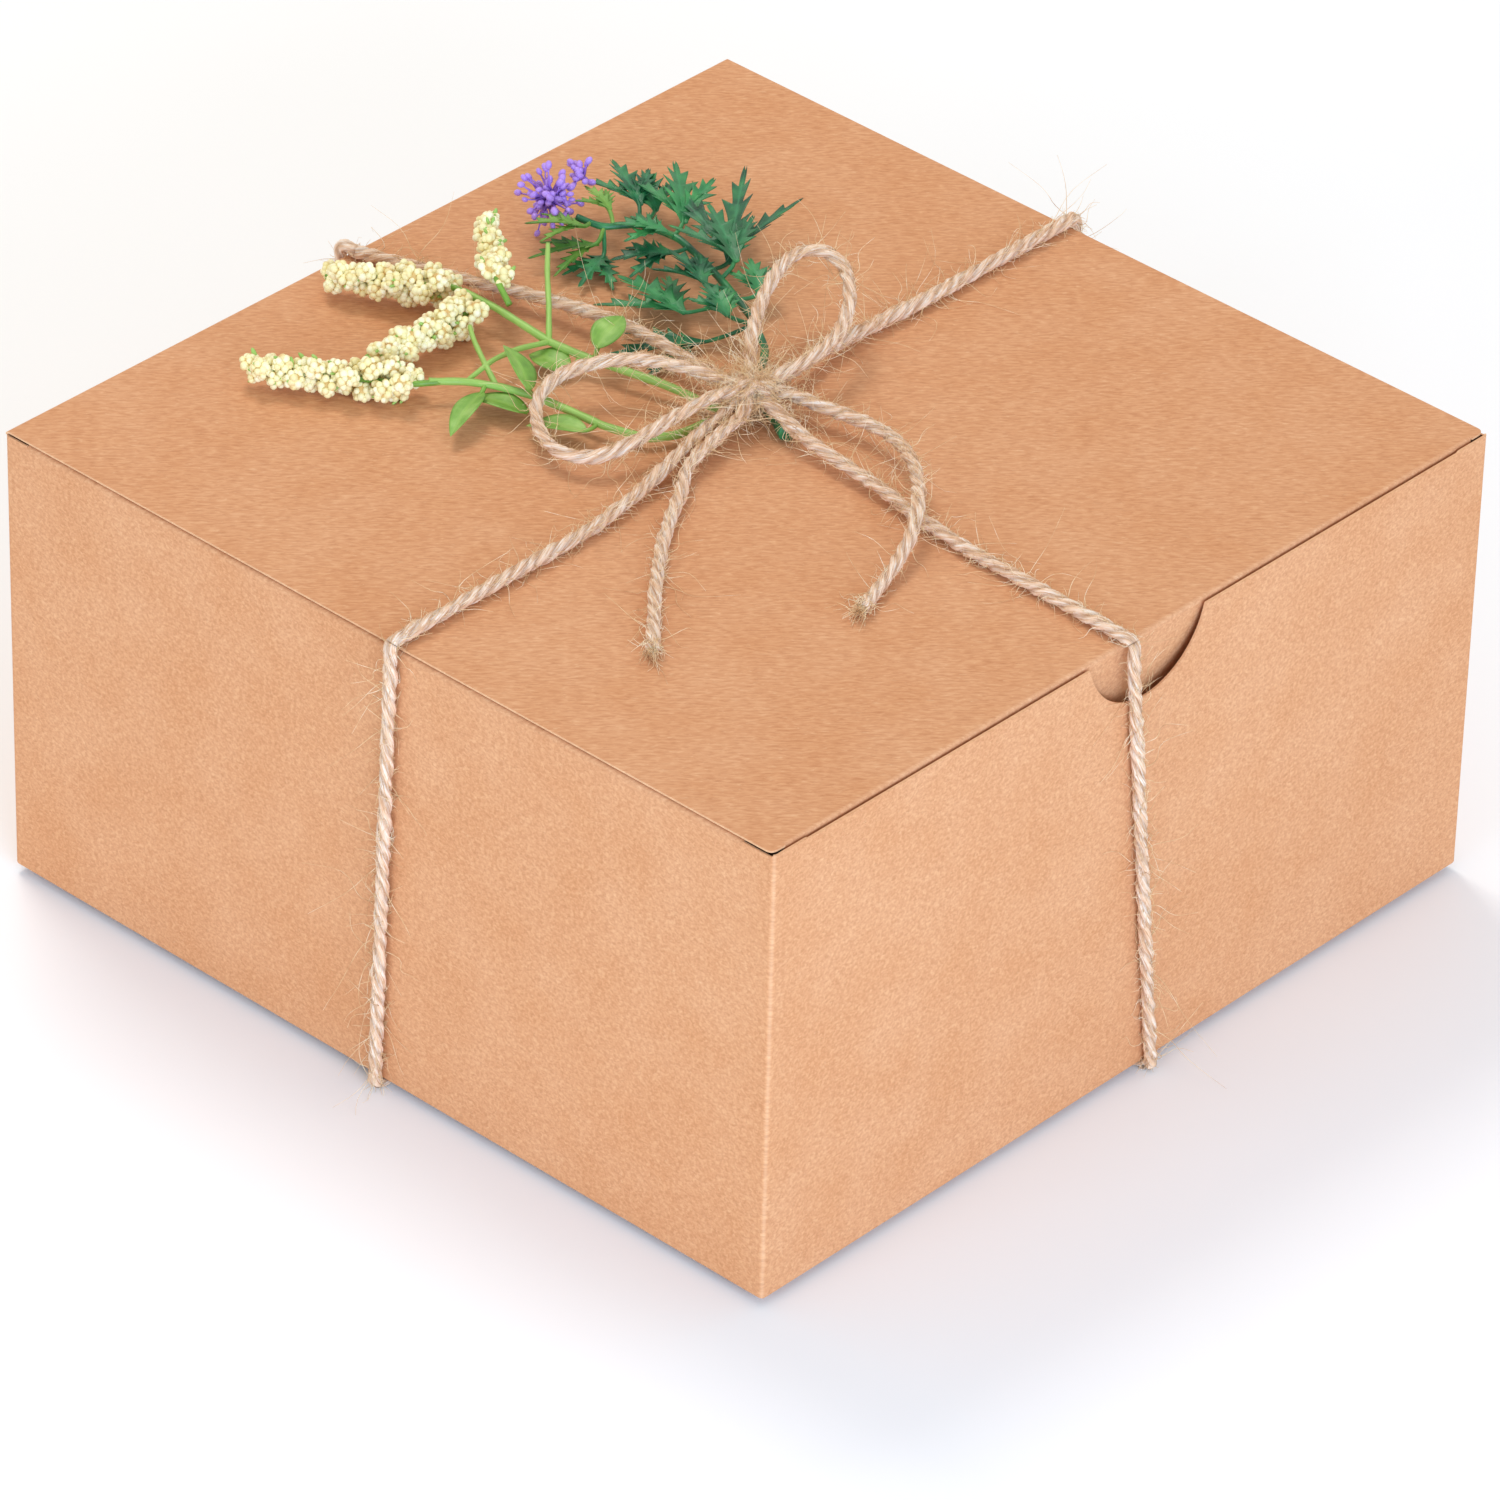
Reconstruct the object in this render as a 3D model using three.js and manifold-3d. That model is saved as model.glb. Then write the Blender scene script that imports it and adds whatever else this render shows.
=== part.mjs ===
// Gift box: a square kraft carton with a tuck-in lid, tied crosswise with jute twine.
// The twine ends in a bow over two moulded flower sprigs that lie on the lid.
// Millimetres, +Z up, +Y to the rear. The lid hinges at the rear and tucks in behind the front wall.
// The origin is on the floor, below the middle of the box.
import * as THREE from "three";
import { mergeVertices } from "three/addons/utils/BufferGeometryUtils.js";
import Module from "manifold-3d";

const wasm = await Module();
wasm.setup();

// ---- Driving dimensions ----

// Carton
const BOX_WIDTH = 203.2; // outside, left to right
const BOX_DEPTH = 203.2; // outside, front to rear
const BOX_HEIGHT = 101.6; // underside of the bottom to the top of the lid
const BOARD = 0.6; // board thickness
const LAYER_GAP = 0.3; // air between two layers of board, and round the twine

// Lid and its flaps
const LID_SIDE_INSET = 0.4; // the lid is this much short of each side wall's outer face
const LID_CORNER_RADIUS = 1.5;
const FRONT_WALL_DROP = 0.4; // the front wall's raw edge below the top of the lid
const TUCK_DEPTH = 22;
const TUCK_LEAN = THREE.MathUtils.degToRad(8); // the tuck flap leans into the box
const TUCK_SIDE_CLEARANCE = 3;
const TUCK_CORNER_RADIUS = 12;
const DUST_REACH = 60; // from the side wall to the dust flap's free edge
const DUST_REAR_SETBACK = 6; // free space beside the lid's crease
const DUST_FRONT_SETBACK = 8; // free space for the tuck flap
const DUST_FRONT_TAPER = 16;
const NOTCH_WIDTH = 33;
const NOTCH_DEPTH = 13.5;
const NOTCH_CENTRE = 1.5; // to the right of the middle of the front wall
const GLUE_WIDTH = 18;
const GLUE_TAPER = 8;

// Bottom: four flaps that lock into each other
const MAIN_FLAP_REACH = 140; // from the rear wall forwards
const SIDE_FLAP_REACH = 60;
const SIDE_FLAP_TAPER = 30;
const FLAP_END_CLEARANCE = 1; // from a bottom flap's end to the wall beside it
const TONGUE_WIDTH = 60;
const TONGUE_LENGTH = 16; // the part of the tongue above the main flap
const TONGUE_SHOULDER = 12; // straight side of the tongue flap beside the front wall
const SLOT_SIDE_CLEARANCE = 1.5;
const SLOT_REACH = 82; // from the front wall to the middle of the slot
const SLOT_WIDTH = 5;

// Twine
const TWINE = 2.8; // diameter
const TWINE_SIDES = 8;
const TWINE_STEP = 2.4 * TWINE; // spacing of the rings along a bow loop or a tail
const PRESSED_THICKNESS = 1.6; // the twine under the box is pressed flat
const PRESSED_WIDTH = 3.8;
const UNDER_X_AT = -1; // Y of the twine that runs left to right under the box
const UNDER_FRONT_AT = 7; // X where the twine under the box comes out at the front
const UNDER_REAR_AT = -2; // X where it comes out at the rear
const CREASE_CLEARANCE = 3; // the rear strand stops this far before the lid's crease
const KNOT_RADIUS = 1.75 * TWINE;
const KNOT_HEIGHT = 2.4 * TWINE;
const KNOT_AT = [4, 3];

// Sprigs
const CREAM_STEM = 1.8;
const DARK_STEM = 2.4;
const STEM_SIDES = 6;
const LEAF_THICKNESS = 0.5;
const BLOSSOM_WIDTH = 6.2;
const BLOSSOM_SIDES = 8;
const LAVENDER_RADIUS = 5.5;
const LEAF_TEETH = 4; // on each side of a toothed leaf

// ---- Levels worked out from the sizes above ----

const halfWidth = BOX_WIDTH / 2;
const halfDepth = BOX_DEPTH / 2;
const layer = BOARD + LAYER_GAP;
const boxBottom = PRESSED_THICKNESS + LAYER_GAP;
const lidTop = boxBottom + BOX_HEIGHT;
const foldTop = lidTop - layer; // top of the side walls, the rear wall and the dust flaps
const insideWidth = BOX_WIDTH - 2 * layer;
const lidFront = -halfDepth + layer;
const twineRest = TWINE / 2 + LAYER_GAP; // height of the twine's middle over what it lies on
const knotBase = lidTop + DARK_STEM + 2 * LAYER_GAP;

// ---- Materials ----

function finish(color, roughness, metalness = 0) {
  return new THREE.MeshStandardMaterial({ color, roughness, metalness });
}

const kraft = finish(0xd9a274, 0.9);
const jute = finish(0xcfa987, 0.95);
const creamBlossom = finish(0xf3e6b4, 0.6);
const limeLeaf = finish(0x84b64a, 0.5);
const darkLeaf = finish(0x1f6a45, 0.5);
const lavender = finish(0x8e6cc8, 0.5);

// ---- Solids ----

/** A closed geometry as a manifold-3d solid: only its positions, with shared corners merged. */
function solidOf(geometry) {
  const bare = geometry.clone();
  bare.deleteAttribute("normal");
  bare.deleteAttribute("uv");
  const merged = mergeVertices(bare, 1e-4);
  return new wasm.Manifold(
    new wasm.Mesh({
      numProp: 3,
      vertProperties: merged.attributes.position.array,
      triVerts: new Uint32Array(merged.index.array),
    }),
  );
}

/** A manifold-3d solid as a geometry. */
function geometryOf(solid) {
  const mesh = solid.getMesh();
  const geometry = new THREE.BufferGeometry();
  geometry.setAttribute("position", new THREE.BufferAttribute(mesh.vertProperties, 3));
  geometry.setIndex(new THREE.BufferAttribute(mesh.triVerts, 1));
  geometry.computeVertexNormals();
  return geometry;
}

/** A piece of board: a flat outline with the board's thickness. */
function boardOf(outline, thickness = BOARD) {
  return new THREE.ExtrudeGeometry(outline, { depth: thickness, bevelEnabled: false, curveSegments: 10 });
}

/** An outline through the given corners. */
function polygon(corners) {
  return new THREE.Shape(corners.map(([x, y]) => new THREE.Vector2(x, y)));
}

/** Turns a mesh so that its own X, Y and Z run along three given directions. */
function turned(mesh, xAxis, yAxis, zAxis) {
  mesh.quaternion.setFromRotationMatrix(new THREE.Matrix4().makeBasis(xAxis, yAxis, zAxis));
  return mesh;
}

function vector(x, y, z) {
  return new THREE.Vector3(x, y, z);
}

const right = vector(1, 0, 0);
const rear = vector(0, 1, 0);
const up = vector(0, 0, 1);

function named(name, geometry, material) {
  const mesh = new THREE.Mesh(geometry, material);
  mesh.name = name;
  return mesh;
}

// ---- Walls ----

/** Board that stands across the box: its outline is seen from the front, with its front face at y. */
function crossBoard(name, outline, y) {
  const mesh = turned(named(name, boardOf(outline), kraft), right, up, rear.clone().negate());
  mesh.position.set(0, y + BOARD, 0);
  return mesh;
}

/** Board that stands along a side: its outline is seen from the right, with its left face at x. */
function sideBoard(name, outline, x) {
  const mesh = turned(named(name, boardOf(outline), kraft), rear, up, right);
  mesh.position.set(x, 0, 0);
  return mesh;
}

/** Board that lies flat: its outline is seen from above, with its underside at z. */
function flatBoard(name, outline, z) {
  const mesh = named(name, boardOf(outline), kraft);
  mesh.position.set(0, 0, z);
  return mesh;
}

/** The front wall's outline: a rectangle with a round thumb notch in its top edge. */
function frontWallOutline() {
  const top = lidTop - FRONT_WALL_DROP;
  const half = NOTCH_WIDTH / 2;
  const radius = (half * half + NOTCH_DEPTH * NOTCH_DEPTH) / (2 * NOTCH_DEPTH);
  const centre = top - NOTCH_DEPTH + radius;
  const reach = Math.asin(half / radius);
  const outline = new THREE.Shape();
  outline.moveTo(-halfWidth, boxBottom);
  outline.lineTo(halfWidth, boxBottom);
  outline.lineTo(halfWidth, top);
  outline.lineTo(NOTCH_CENTRE + half, top);
  outline.absarc(NOTCH_CENTRE, centre, radius, -Math.PI / 2 + reach, -Math.PI / 2 - reach, true);
  outline.lineTo(-halfWidth, top);
  return outline;
}

function addWalls(group) {
  const sideRun = halfDepth - layer;
  const rearOutline = polygon([
    [-halfWidth, boxBottom],
    [halfWidth, boxBottom],
    [halfWidth, foldTop],
    [-halfWidth, foldTop],
  ]);
  const sideOutline = polygon([
    [-sideRun, boxBottom],
    [sideRun, boxBottom],
    [sideRun, foldTop],
    [-sideRun, foldTop],
  ]);
  const glueEdge = halfWidth - layer;
  const glueOutline = polygon([
    [glueEdge - GLUE_WIDTH, boxBottom + 2 * GLUE_TAPER],
    [glueEdge, boxBottom + GLUE_TAPER],
    [glueEdge, foldTop - GLUE_TAPER],
    [glueEdge - GLUE_WIDTH, foldTop - 2 * GLUE_TAPER],
  ]);
  group.add(crossBoard("front_wall", frontWallOutline(), -halfDepth));
  group.add(crossBoard("rear_wall", rearOutline, halfDepth - BOARD));
  group.add(sideBoard("left_wall", sideOutline, -halfWidth));
  group.add(sideBoard("right_wall", sideOutline, halfWidth - BOARD));
  group.add(crossBoard("glue_flap", glueOutline, halfDepth - BOARD - layer));
}

// ---- Bottom ----

/** The tongue flap: a sheet bent up through the slot, trimmed to a tapered outline. */
function tongueFlap() {
  const front = -halfDepth + layer;
  const slot = -halfDepth + SLOT_REACH;
  const rise = 3 * layer;
  const bendStart = slot - rise / 2;
  const bendEnd = slot + rise / 2;
  const end = bendEnd + TONGUE_LENGTH;
  const slant = BOARD * Math.tan(Math.PI / 8);
  const profile = polygon([
    [front, 0],
    [bendStart, 0],
    [bendEnd, rise],
    [end, rise],
    [end, rise + BOARD],
    [bendEnd - slant, rise + BOARD],
    [bendStart - slant, BOARD],
    [front, BOARD],
  ]);
  const sheet = new THREE.ExtrudeGeometry(profile, { depth: insideWidth, bevelEnabled: false });
  sheet.applyMatrix4(new THREE.Matrix4().makeBasis(rear, up, right));
  sheet.translate(-insideWidth / 2, 0, boxBottom);

  const half = insideWidth / 2 - FLAP_END_CLEARANCE;
  const tongue = TONGUE_WIDTH / 2;
  const corner = tongue / 3; // the tongue's chamfered corners
  const neck = bendStart - BOARD;
  const outline = polygon([
    [-half, front],
    [half, front],
    [half, front + TONGUE_SHOULDER],
    [tongue, neck],
    [tongue, end - corner],
    [tongue - corner, end],
    [-tongue + corner, end],
    [-tongue, end - corner],
    [-tongue, neck],
    [-half, front + TONGUE_SHOULDER],
  ]);
  const cutter = new THREE.ExtrudeGeometry(outline, { depth: rise + 2 * layer, bevelEnabled: false });
  cutter.translate(0, 0, boxBottom - BOARD);
  const trimmed = solidOf(sheet).intersect(solidOf(cutter));
  return named("bottom_tongue_flap", geometryOf(trimmed), kraft);
}

/** The main flap: the largest one, from the rear wall, with the slot that takes the tongue. */
function mainFlap() {
  const half = insideWidth / 2 - FLAP_END_CLEARANCE;
  const edge = halfDepth - layer;
  const outline = polygon([
    [-half, edge - MAIN_FLAP_REACH],
    [half, edge - MAIN_FLAP_REACH],
    [half, edge],
    [-half, edge],
  ]);
  const slotHalf = TONGUE_WIDTH / 2 + SLOT_SIDE_CLEARANCE;
  const middle = -halfDepth + SLOT_REACH;
  const slot = new THREE.Path();
  slot.moveTo(-slotHalf, middle - SLOT_WIDTH / 2);
  slot.lineTo(-slotHalf, middle + SLOT_WIDTH / 2);
  slot.lineTo(slotHalf, middle + SLOT_WIDTH / 2);
  slot.lineTo(slotHalf, middle - SLOT_WIDTH / 2);
  outline.holes.push(slot);
  return flatBoard("bottom_main_flap", outline, boxBottom + 2 * layer);
}

/** A side flap of the bottom: side is -1 for the left one and 1 for the right one. */
function bottomSideFlap(name, side) {
  const edge = insideWidth / 2;
  const run = halfDepth - layer - FLAP_END_CLEARANCE;
  const outline = polygon([
    [side * edge, -side * run],
    [side * edge, side * run],
    [side * (edge - SIDE_FLAP_REACH), side * (run - SIDE_FLAP_TAPER)],
    [side * (edge - SIDE_FLAP_REACH), -side * (run - SIDE_FLAP_TAPER)],
  ]);
  return flatBoard(name, outline, boxBottom + layer);
}

function addBottom(group) {
  group.add(tongueFlap());
  group.add(bottomSideFlap("bottom_side_flap_left", -1));
  group.add(bottomSideFlap("bottom_side_flap_right", 1));
  group.add(mainFlap());
}

// ---- Lid ----

function lidPanel() {
  const half = halfWidth - LID_SIDE_INSET;
  const r = LID_CORNER_RADIUS;
  const outline = new THREE.Shape();
  outline.moveTo(-half, halfDepth);
  outline.lineTo(-half, lidFront + r);
  outline.absarc(-half + r, lidFront + r, r, Math.PI, 1.5 * Math.PI, false);
  outline.lineTo(half - r, lidFront);
  outline.absarc(half - r, lidFront + r, r, -Math.PI / 2, 0, false);
  outline.lineTo(half, halfDepth);
  return flatBoard("lid_panel", outline, lidTop - BOARD);
}

/** The tuck flap hangs from the lid's front crease and leans into the box. */
function tuckFlap() {
  const half = insideWidth / 2 - TUCK_SIDE_CLEARANCE;
  const r = TUCK_CORNER_RADIUS;
  const outline = new THREE.Shape();
  outline.moveTo(-half, 0);
  outline.lineTo(-half, r - TUCK_DEPTH);
  outline.absarc(-half + r, r - TUCK_DEPTH, r, Math.PI, 1.5 * Math.PI, false);
  outline.lineTo(half - r, -TUCK_DEPTH);
  outline.absarc(half - r, r - TUCK_DEPTH, r, -Math.PI / 2, 0, false);
  outline.lineTo(half, 0);
  const along = vector(0, -Math.sin(TUCK_LEAN), Math.cos(TUCK_LEAN));
  const outward = vector(0, -Math.cos(TUCK_LEAN), -Math.sin(TUCK_LEAN));
  const mesh = turned(named("tuck_flap", boardOf(outline), kraft), right, along, outward);
  mesh.position.set(0, lidFront, lidTop - layer).addScaledVector(outward, -BOARD);
  return mesh;
}

/** A dust flap folds in under the lid from a side wall: side is -1 for left and 1 for right. */
function dustFlap(name, side) {
  const edge = insideWidth / 2;
  const rearEnd = halfDepth - DUST_REAR_SETBACK;
  const frontEnd = -halfDepth + DUST_FRONT_SETBACK;
  const corners = [
    [side * edge, frontEnd],
    [side * edge, rearEnd],
    [side * (edge - DUST_REACH), rearEnd - DUST_REACH],
    [side * (edge - DUST_REACH), frontEnd + DUST_FRONT_TAPER],
  ];
  return flatBoard(name, polygon(corners), foldTop - BOARD);
}

function addLid(group) {
  group.add(lidPanel());
  group.add(tuckFlap());
  group.add(dustFlap("dust_flap_left", -1));
  group.add(dustFlap("dust_flap_right", 1));
}

// ---- Twine ----

/** A path with a ring of the tube at each of its stations, square to the neighbouring stretch. */
class Stations extends THREE.Curve {
  constructor(points, firstWay, lastWay) {
    super();
    this.points = points;
    this.firstWay = firstWay;
    this.lastWay = lastWay;
  }

  getPoint(u) {
    return this.points[Math.round(u * (this.points.length - 1))].clone();
  }

  getPointAt(u) {
    return this.getPoint(u);
  }

  getTangentAt(u) {
    const last = this.points.length - 1;
    const i = Math.round(u * last);
    if (i === 0 && this.firstWay) return this.firstWay.clone().normalize();
    if (i === last && this.lastWay) return this.lastWay.clone().normalize();
    const before = this.points[Math.max(i - 1, 0)];
    const after = this.points[Math.min(i + 1, last)];
    return after.clone().sub(before).normalize();
  }
}

/** A round rod through the given points, with as many sides as asked. */
function rod(points, diameter, sides, firstWay, lastWay) {
  const ring = [];
  for (let i = 0; i < sides; i += 1) {
    const angle = ((i + 0.5) / sides) * 2 * Math.PI;
    ring.push([(diameter / 2) * Math.cos(angle), (diameter / 2) * Math.sin(angle)]);
  }
  return new THREE.ExtrudeGeometry(polygon(ring), {
    steps: points.length - 1,
    extrudePath: new Stations(points, firstWay, lastWay),
    bevelEnabled: false,
  });
}

/** Points on the lid, from [x, y, lift]: lift is how far the twine is off the lid, in twine diameters. */
function overLid(points) {
  return points.map(([x, y, lift]) => vector(x, y, lidTop + twineRest + lift * TWINE));
}

/** Evenly spaced points on a smooth curve through hand-placed ones. */
function smooth(points, step) {
  const curve = new THREE.CatmullRomCurve3(points);
  return curve.getSpacedPoints(Math.round(curve.getLength() / step));
}

// Each strand's first points, from the knot outwards.
const LEFT_STRAND = [
  [-3.4, 2.4, 1.2],
  [-9.5, 2.6, 0.8],
  [-20.9, 0.2, 0.45],
  [-33.7, -2.4, 0.15],
  [-48, -4.4, 0],
];
const RIGHT_STRAND = [
  [11, 4, 1.2],
  [20.1, 5.4, 0.8],
  [30.8, 7, 0.45],
  [42.5, 7.3, 0.15],
  [58, 6.9, 0],
];
const FRONT_STRAND = [
  [3.2, -4.4, 1.2],
  [1.8, -12, 0.65],
  [1, -23.3, 0.45],
  [0, -35, 0.3],
  [-1.6, -45, 0.15],
  [-3, -58, 0],
];
const REAR_STRAND = [
  [4, 10.4, 1.2],
  [4.4, 17, 1.15],
  [5.2, 28.2, 1.3],
  [5.2, 39.4, 1.3],
  [3.4, 53.5, 0.9],
  [0.6, 66, 0.6],
  [-2.6, 77, 0.3],
];
const LEFT_EXIT = -5; // Y where the twine goes over the left edge
const RIGHT_EXIT = 7; // Y at the right edge
const FRONT_EXIT = -4.5; // X at the front edge
const REAR_EXIT = -8.5; // X at the rear edge

const MITRE = Math.PI / 4; // over an edge, the twine is parted halfway round its bend

/** A point of the bend over an edge, at an angle from straight up, and the way the twine runs there. */
function overEdge(edge, outward, angle) {
  const point = edge.clone();
  point.addScaledVector(outward, twineRest * Math.sin(angle));
  point.addScaledVector(up, twineRest * Math.cos(angle));
  const way = outward.clone().multiplyScalar(Math.cos(angle)).addScaledVector(up, -Math.sin(angle));
  return { point, way };
}

/** A strand over the lid that ends halfway round the bend over an edge. */
function topStrand(name, points, edge, outward) {
  const start = overEdge(edge, outward, 0);
  const middle = overEdge(edge, outward, MITRE / 2);
  const end = overEdge(edge, outward, MITRE);
  const parted = end.point.clone().addScaledVector(end.way, -LAYER_GAP / 2);
  const route = [...overLid(points), start.point, middle.point, parted];
  return named(name, rod(route, TWINE, TWINE_SIDES, null, end.way), jute);
}

/** A strand down a wall: it takes over halfway round the bend and stops on the twine under the box. */
function dropStrand(name, edge, outward, foot) {
  const start = overEdge(edge, outward, MITRE);
  const middle = overEdge(edge, outward, 1.5 * MITRE);
  const straight = overEdge(edge, outward, 2 * MITRE);
  const parted = start.point.clone().addScaledVector(start.way, LAYER_GAP / 2);
  const down = up.clone().negate();
  const route = [parted, middle.point, straight.point, foot];
  return named(name, rod(route, TWINE, TWINE_SIDES, start.way, down), jute);
}

const footHeight = PRESSED_THICKNESS + LAYER_GAP;
const left = right.clone().negate();
const front = rear.clone().negate();

function addWrap(twine) {
  const leftEdge = vector(-halfWidth, LEFT_EXIT, lidTop);
  const rightEdge = vector(halfWidth, RIGHT_EXIT, lidTop);
  const frontEdge = vector(FRONT_EXIT, -halfDepth, lidTop);
  const leftFoot = vector(-halfWidth - twineRest, UNDER_X_AT, footHeight);
  const rightFoot = vector(halfWidth + twineRest, UNDER_X_AT, footHeight);
  const frontFoot = vector(UNDER_FRONT_AT, -halfDepth - twineRest, footHeight);
  const rearFoot = vector(UNDER_REAR_AT, halfDepth + twineRest, footHeight);
  twine.add(topStrand("twine_top_left", LEFT_STRAND, leftEdge, left));
  twine.add(topStrand("twine_top_right", RIGHT_STRAND, rightEdge, right));
  twine.add(topStrand("twine_top_front", FRONT_STRAND, frontEdge, front));
  const rearEnd = vector(REAR_EXIT, halfDepth - CREASE_CLEARANCE, lidTop + twineRest);
  const rearRoute = [...overLid(REAR_STRAND), rearEnd];
  twine.add(named("twine_top_rear", rod(rearRoute, TWINE, TWINE_SIDES), jute));
  twine.add(dropStrand("twine_drop_left", leftEdge, left, leftFoot));
  twine.add(dropStrand("twine_drop_right", rightEdge, right, rightFoot));
  twine.add(dropStrand("twine_drop_front", frontEdge, front, frontFoot));
  const rearTop = vector(REAR_EXIT, halfDepth + twineRest, foldTop - LAYER_GAP);
  const rearRun = [rearTop, rearTop.clone().lerp(rearFoot, 0.5), rearFoot];
  const down = up.clone().negate();
  twine.add(named("twine_drop_rear", rod(rearRun, TWINE, TWINE_SIDES, down, down), jute));
}

/** Pressed twine on the floor between two points, with its ends cut along the box's sides. */
function pressedTwine(name, from, to, alongX) {
  const half = PRESSED_WIDTH / 2;
  const corners = alongX
    ? [[from[0], from[1] - half], [to[0], to[1] - half], [to[0], to[1] + half], [from[0], from[1] + half]]
    : [[from[0] - half, from[1]], [from[0] + half, from[1]], [to[0] + half, to[1]], [to[0] - half, to[1]]];
  return named(name, boardOf(polygon(corners), PRESSED_THICKNESS), jute);
}

function addUnderTwine(twine) {
  const reach = LAYER_GAP + TWINE;
  const crossing = PRESSED_WIDTH / 2 + LAYER_GAP;
  const frontEnd = [UNDER_FRONT_AT, -halfDepth - reach];
  const rearEnd = [UNDER_REAR_AT, halfDepth + reach];
  const share = (y) => (y - frontEnd[1]) / (rearEnd[1] - frontEnd[1]);
  const onRun = (y) => [THREE.MathUtils.lerp(frontEnd[0], rearEnd[0], share(y)), y];
  const leftEnd = [-halfWidth - reach, UNDER_X_AT];
  const rightEnd = [halfWidth + reach, UNDER_X_AT];
  twine.add(pressedTwine("twine_under_across", leftEnd, rightEnd, true));
  twine.add(pressedTwine("twine_under_front", frontEnd, onRun(UNDER_X_AT - crossing), false));
  twine.add(pressedTwine("twine_under_rear", onRun(UNDER_X_AT + crossing), rearEnd, false));
}

const LEFT_LOOP = [
  [-0.6, 9.2, 2.4],
  [-2.9, 13, 2.9],
  [-5.5, 18.7, 3.0],
  [-8.6, 25.2, 2.7],
  [-13.1, 29.7, 2.3],
  [-18.9, 31.6, 2.2],
  [-23.9, 31.7, 1.9],
  [-29, 29.6, 1.5],
  [-33.3, 25, 1.2],
  [-35.8, 19.7, 0.9],
  [-36, 14.9, 0.8],
  [-33.8, 10.6, 0.9],
  [-29.4, 8, 1.1],
  [-23.7, 6.8, 1.5],
  [-16.8, 6.2, 1.9],
  [-10, 5.4, 2.2],
  [-3.2, 4.6, 2.3],
];
const UPPER_LOOP = [
  [8.6, 8.2, 2.5],
  [11.5, 10.6, 2.8],
  [15, 13.4, 3.1],
  [19.5, 16.2, 3.7],
  [25.3, 19, 4.4],
  [32, 21.4, 4.8],
  [37.6, 21.2, 5.1],
  [40.6, 18, 5.1],
  [40.4, 13, 4.8],
  [37.2, 8.2, 4.4],
  [33.4, 4.6, 3.8],
  [28.4, 1.8, 3.2],
  [23, 0.4, 2.8],
  [17, 0, 2.6],
  [11, 0.6, 2.5],
];
const LEFT_TAIL = [
  [-27, -7.6, 0.1],
  [-34.6, -12, 0],
  [-43.2, -17.8, 0],
  [-51.3, -24.2, 0],
  [-59.1, -30.9, 0],
  [-66.4, -37.6, 0],
  [-70.2, -41, 0],
];
const RIGHT_TAIL = [
  [9.8, -1.6, 1.3],
  [11, -7, 1],
  [12.8, -13.6, 0.9],
  [13.4, -21, 1],
  [11.6, -29.3, 1.2],
  [6.9, -37, 1.4],
  [0.8, -43.6, 1.5],
  [-4.9, -48.4, 1.4],
  [-10.8, -52, 0.9],
  [-17.5, -54.6, 0.4],
  [-25.2, -57, 0],
  [-32, -59.2, 0],
];

/** The left tail lies beside the left strand's first stretch, towards the front, then leaves it. */
function leftTailPoints() {
  const beside = TWINE + 2 * LAYER_GAP;
  const along = LEFT_STRAND.slice(0, 3).map(([x, y, lift]) => [x, y - beside, lift]);
  return [...along, ...LEFT_TAIL];
}

function addBow(twine) {
  const knot = new THREE.SphereGeometry(KNOT_RADIUS, 12, 8);
  knot.rotateX(Math.PI / 2);
  knot.scale(1, 1, KNOT_HEIGHT / 2 / KNOT_RADIUS);
  const knotMesh = named("twine_knot", knot, jute);
  knotMesh.position.set(KNOT_AT[0], KNOT_AT[1], knotBase + KNOT_HEIGHT / 2);
  twine.add(knotMesh);
  const cords = {
    bow_loop_left: LEFT_LOOP,
    bow_loop_upper: UPPER_LOOP,
    bow_tail_left: leftTailPoints(),
    bow_tail_right: RIGHT_TAIL,
  };
  for (const [name, points] of Object.entries(cords)) {
    const route = smooth(overLid(points), TWINE_STEP);
    twine.add(named(name, rod(route, TWINE, TWINE_SIDES), jute));
  }
}

// ---- Sprigs ----

/** Points over the lid, from [x, y, height of the middle over the lid]. */
function above(points) {
  return points.map(([x, y, z]) => vector(x, y, lidTop + z));
}

const CREAM_ROOT = [1.2, 4.4, 1.5];
const CREAM_FORK = [-30.6, 46.6, 4.2];
const CREAM_LOWER_STEM = [
  CREAM_ROOT,
  [-3.8, 6, 1.6],
  [-12.7, 6.6, 1.9],
  [-18.6, 9.6, 2.2],
  [-21.9, 17.9, 2.9],
  [-23, 26.2, 3.3],
  [-24.6, 34, 3.8],
  [-27.4, 41.5, 4],
  CREAM_FORK,
  [-36, 51.5, 4.4],
];
const CREAM_UPPER_STEM = [
  CREAM_ROOT,
  [-1, 8.6, 1.9],
  [-2.1, 15.4, 2.8],
  [-3.4, 20.8, 3.4],
  [-5.7, 28.8, 3.8],
  [-7.8, 38.2, 4],
  [-9.1, 45.1, 4.5],
  [-8.9, 52, 5],
  [-8.6, 60.2, 5.5],
  [-9.4, 68.4, 6],
];
const CREAM_MIDDLE_STEM = [
  [-27.4, 41.5, 4],
  [-24, 48, 4.8],
  [-20, 55, 5.4],
  [-17.4, 58.6, 5.8],
];
const CREAM_LINK = [
  [-9.1, 45.1, 4.5],
  [-16, 47.2, 4.9],
  [-22.2, 47.6, 5],
  CREAM_FORK,
];
const CREAM_BRACT = [
  [-9.1, 45.1, 4.5],
  [-3, 51.1, 8],
  [3.4, 57.8, 10],
  [9.4, 63.4, 11],
];
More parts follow.
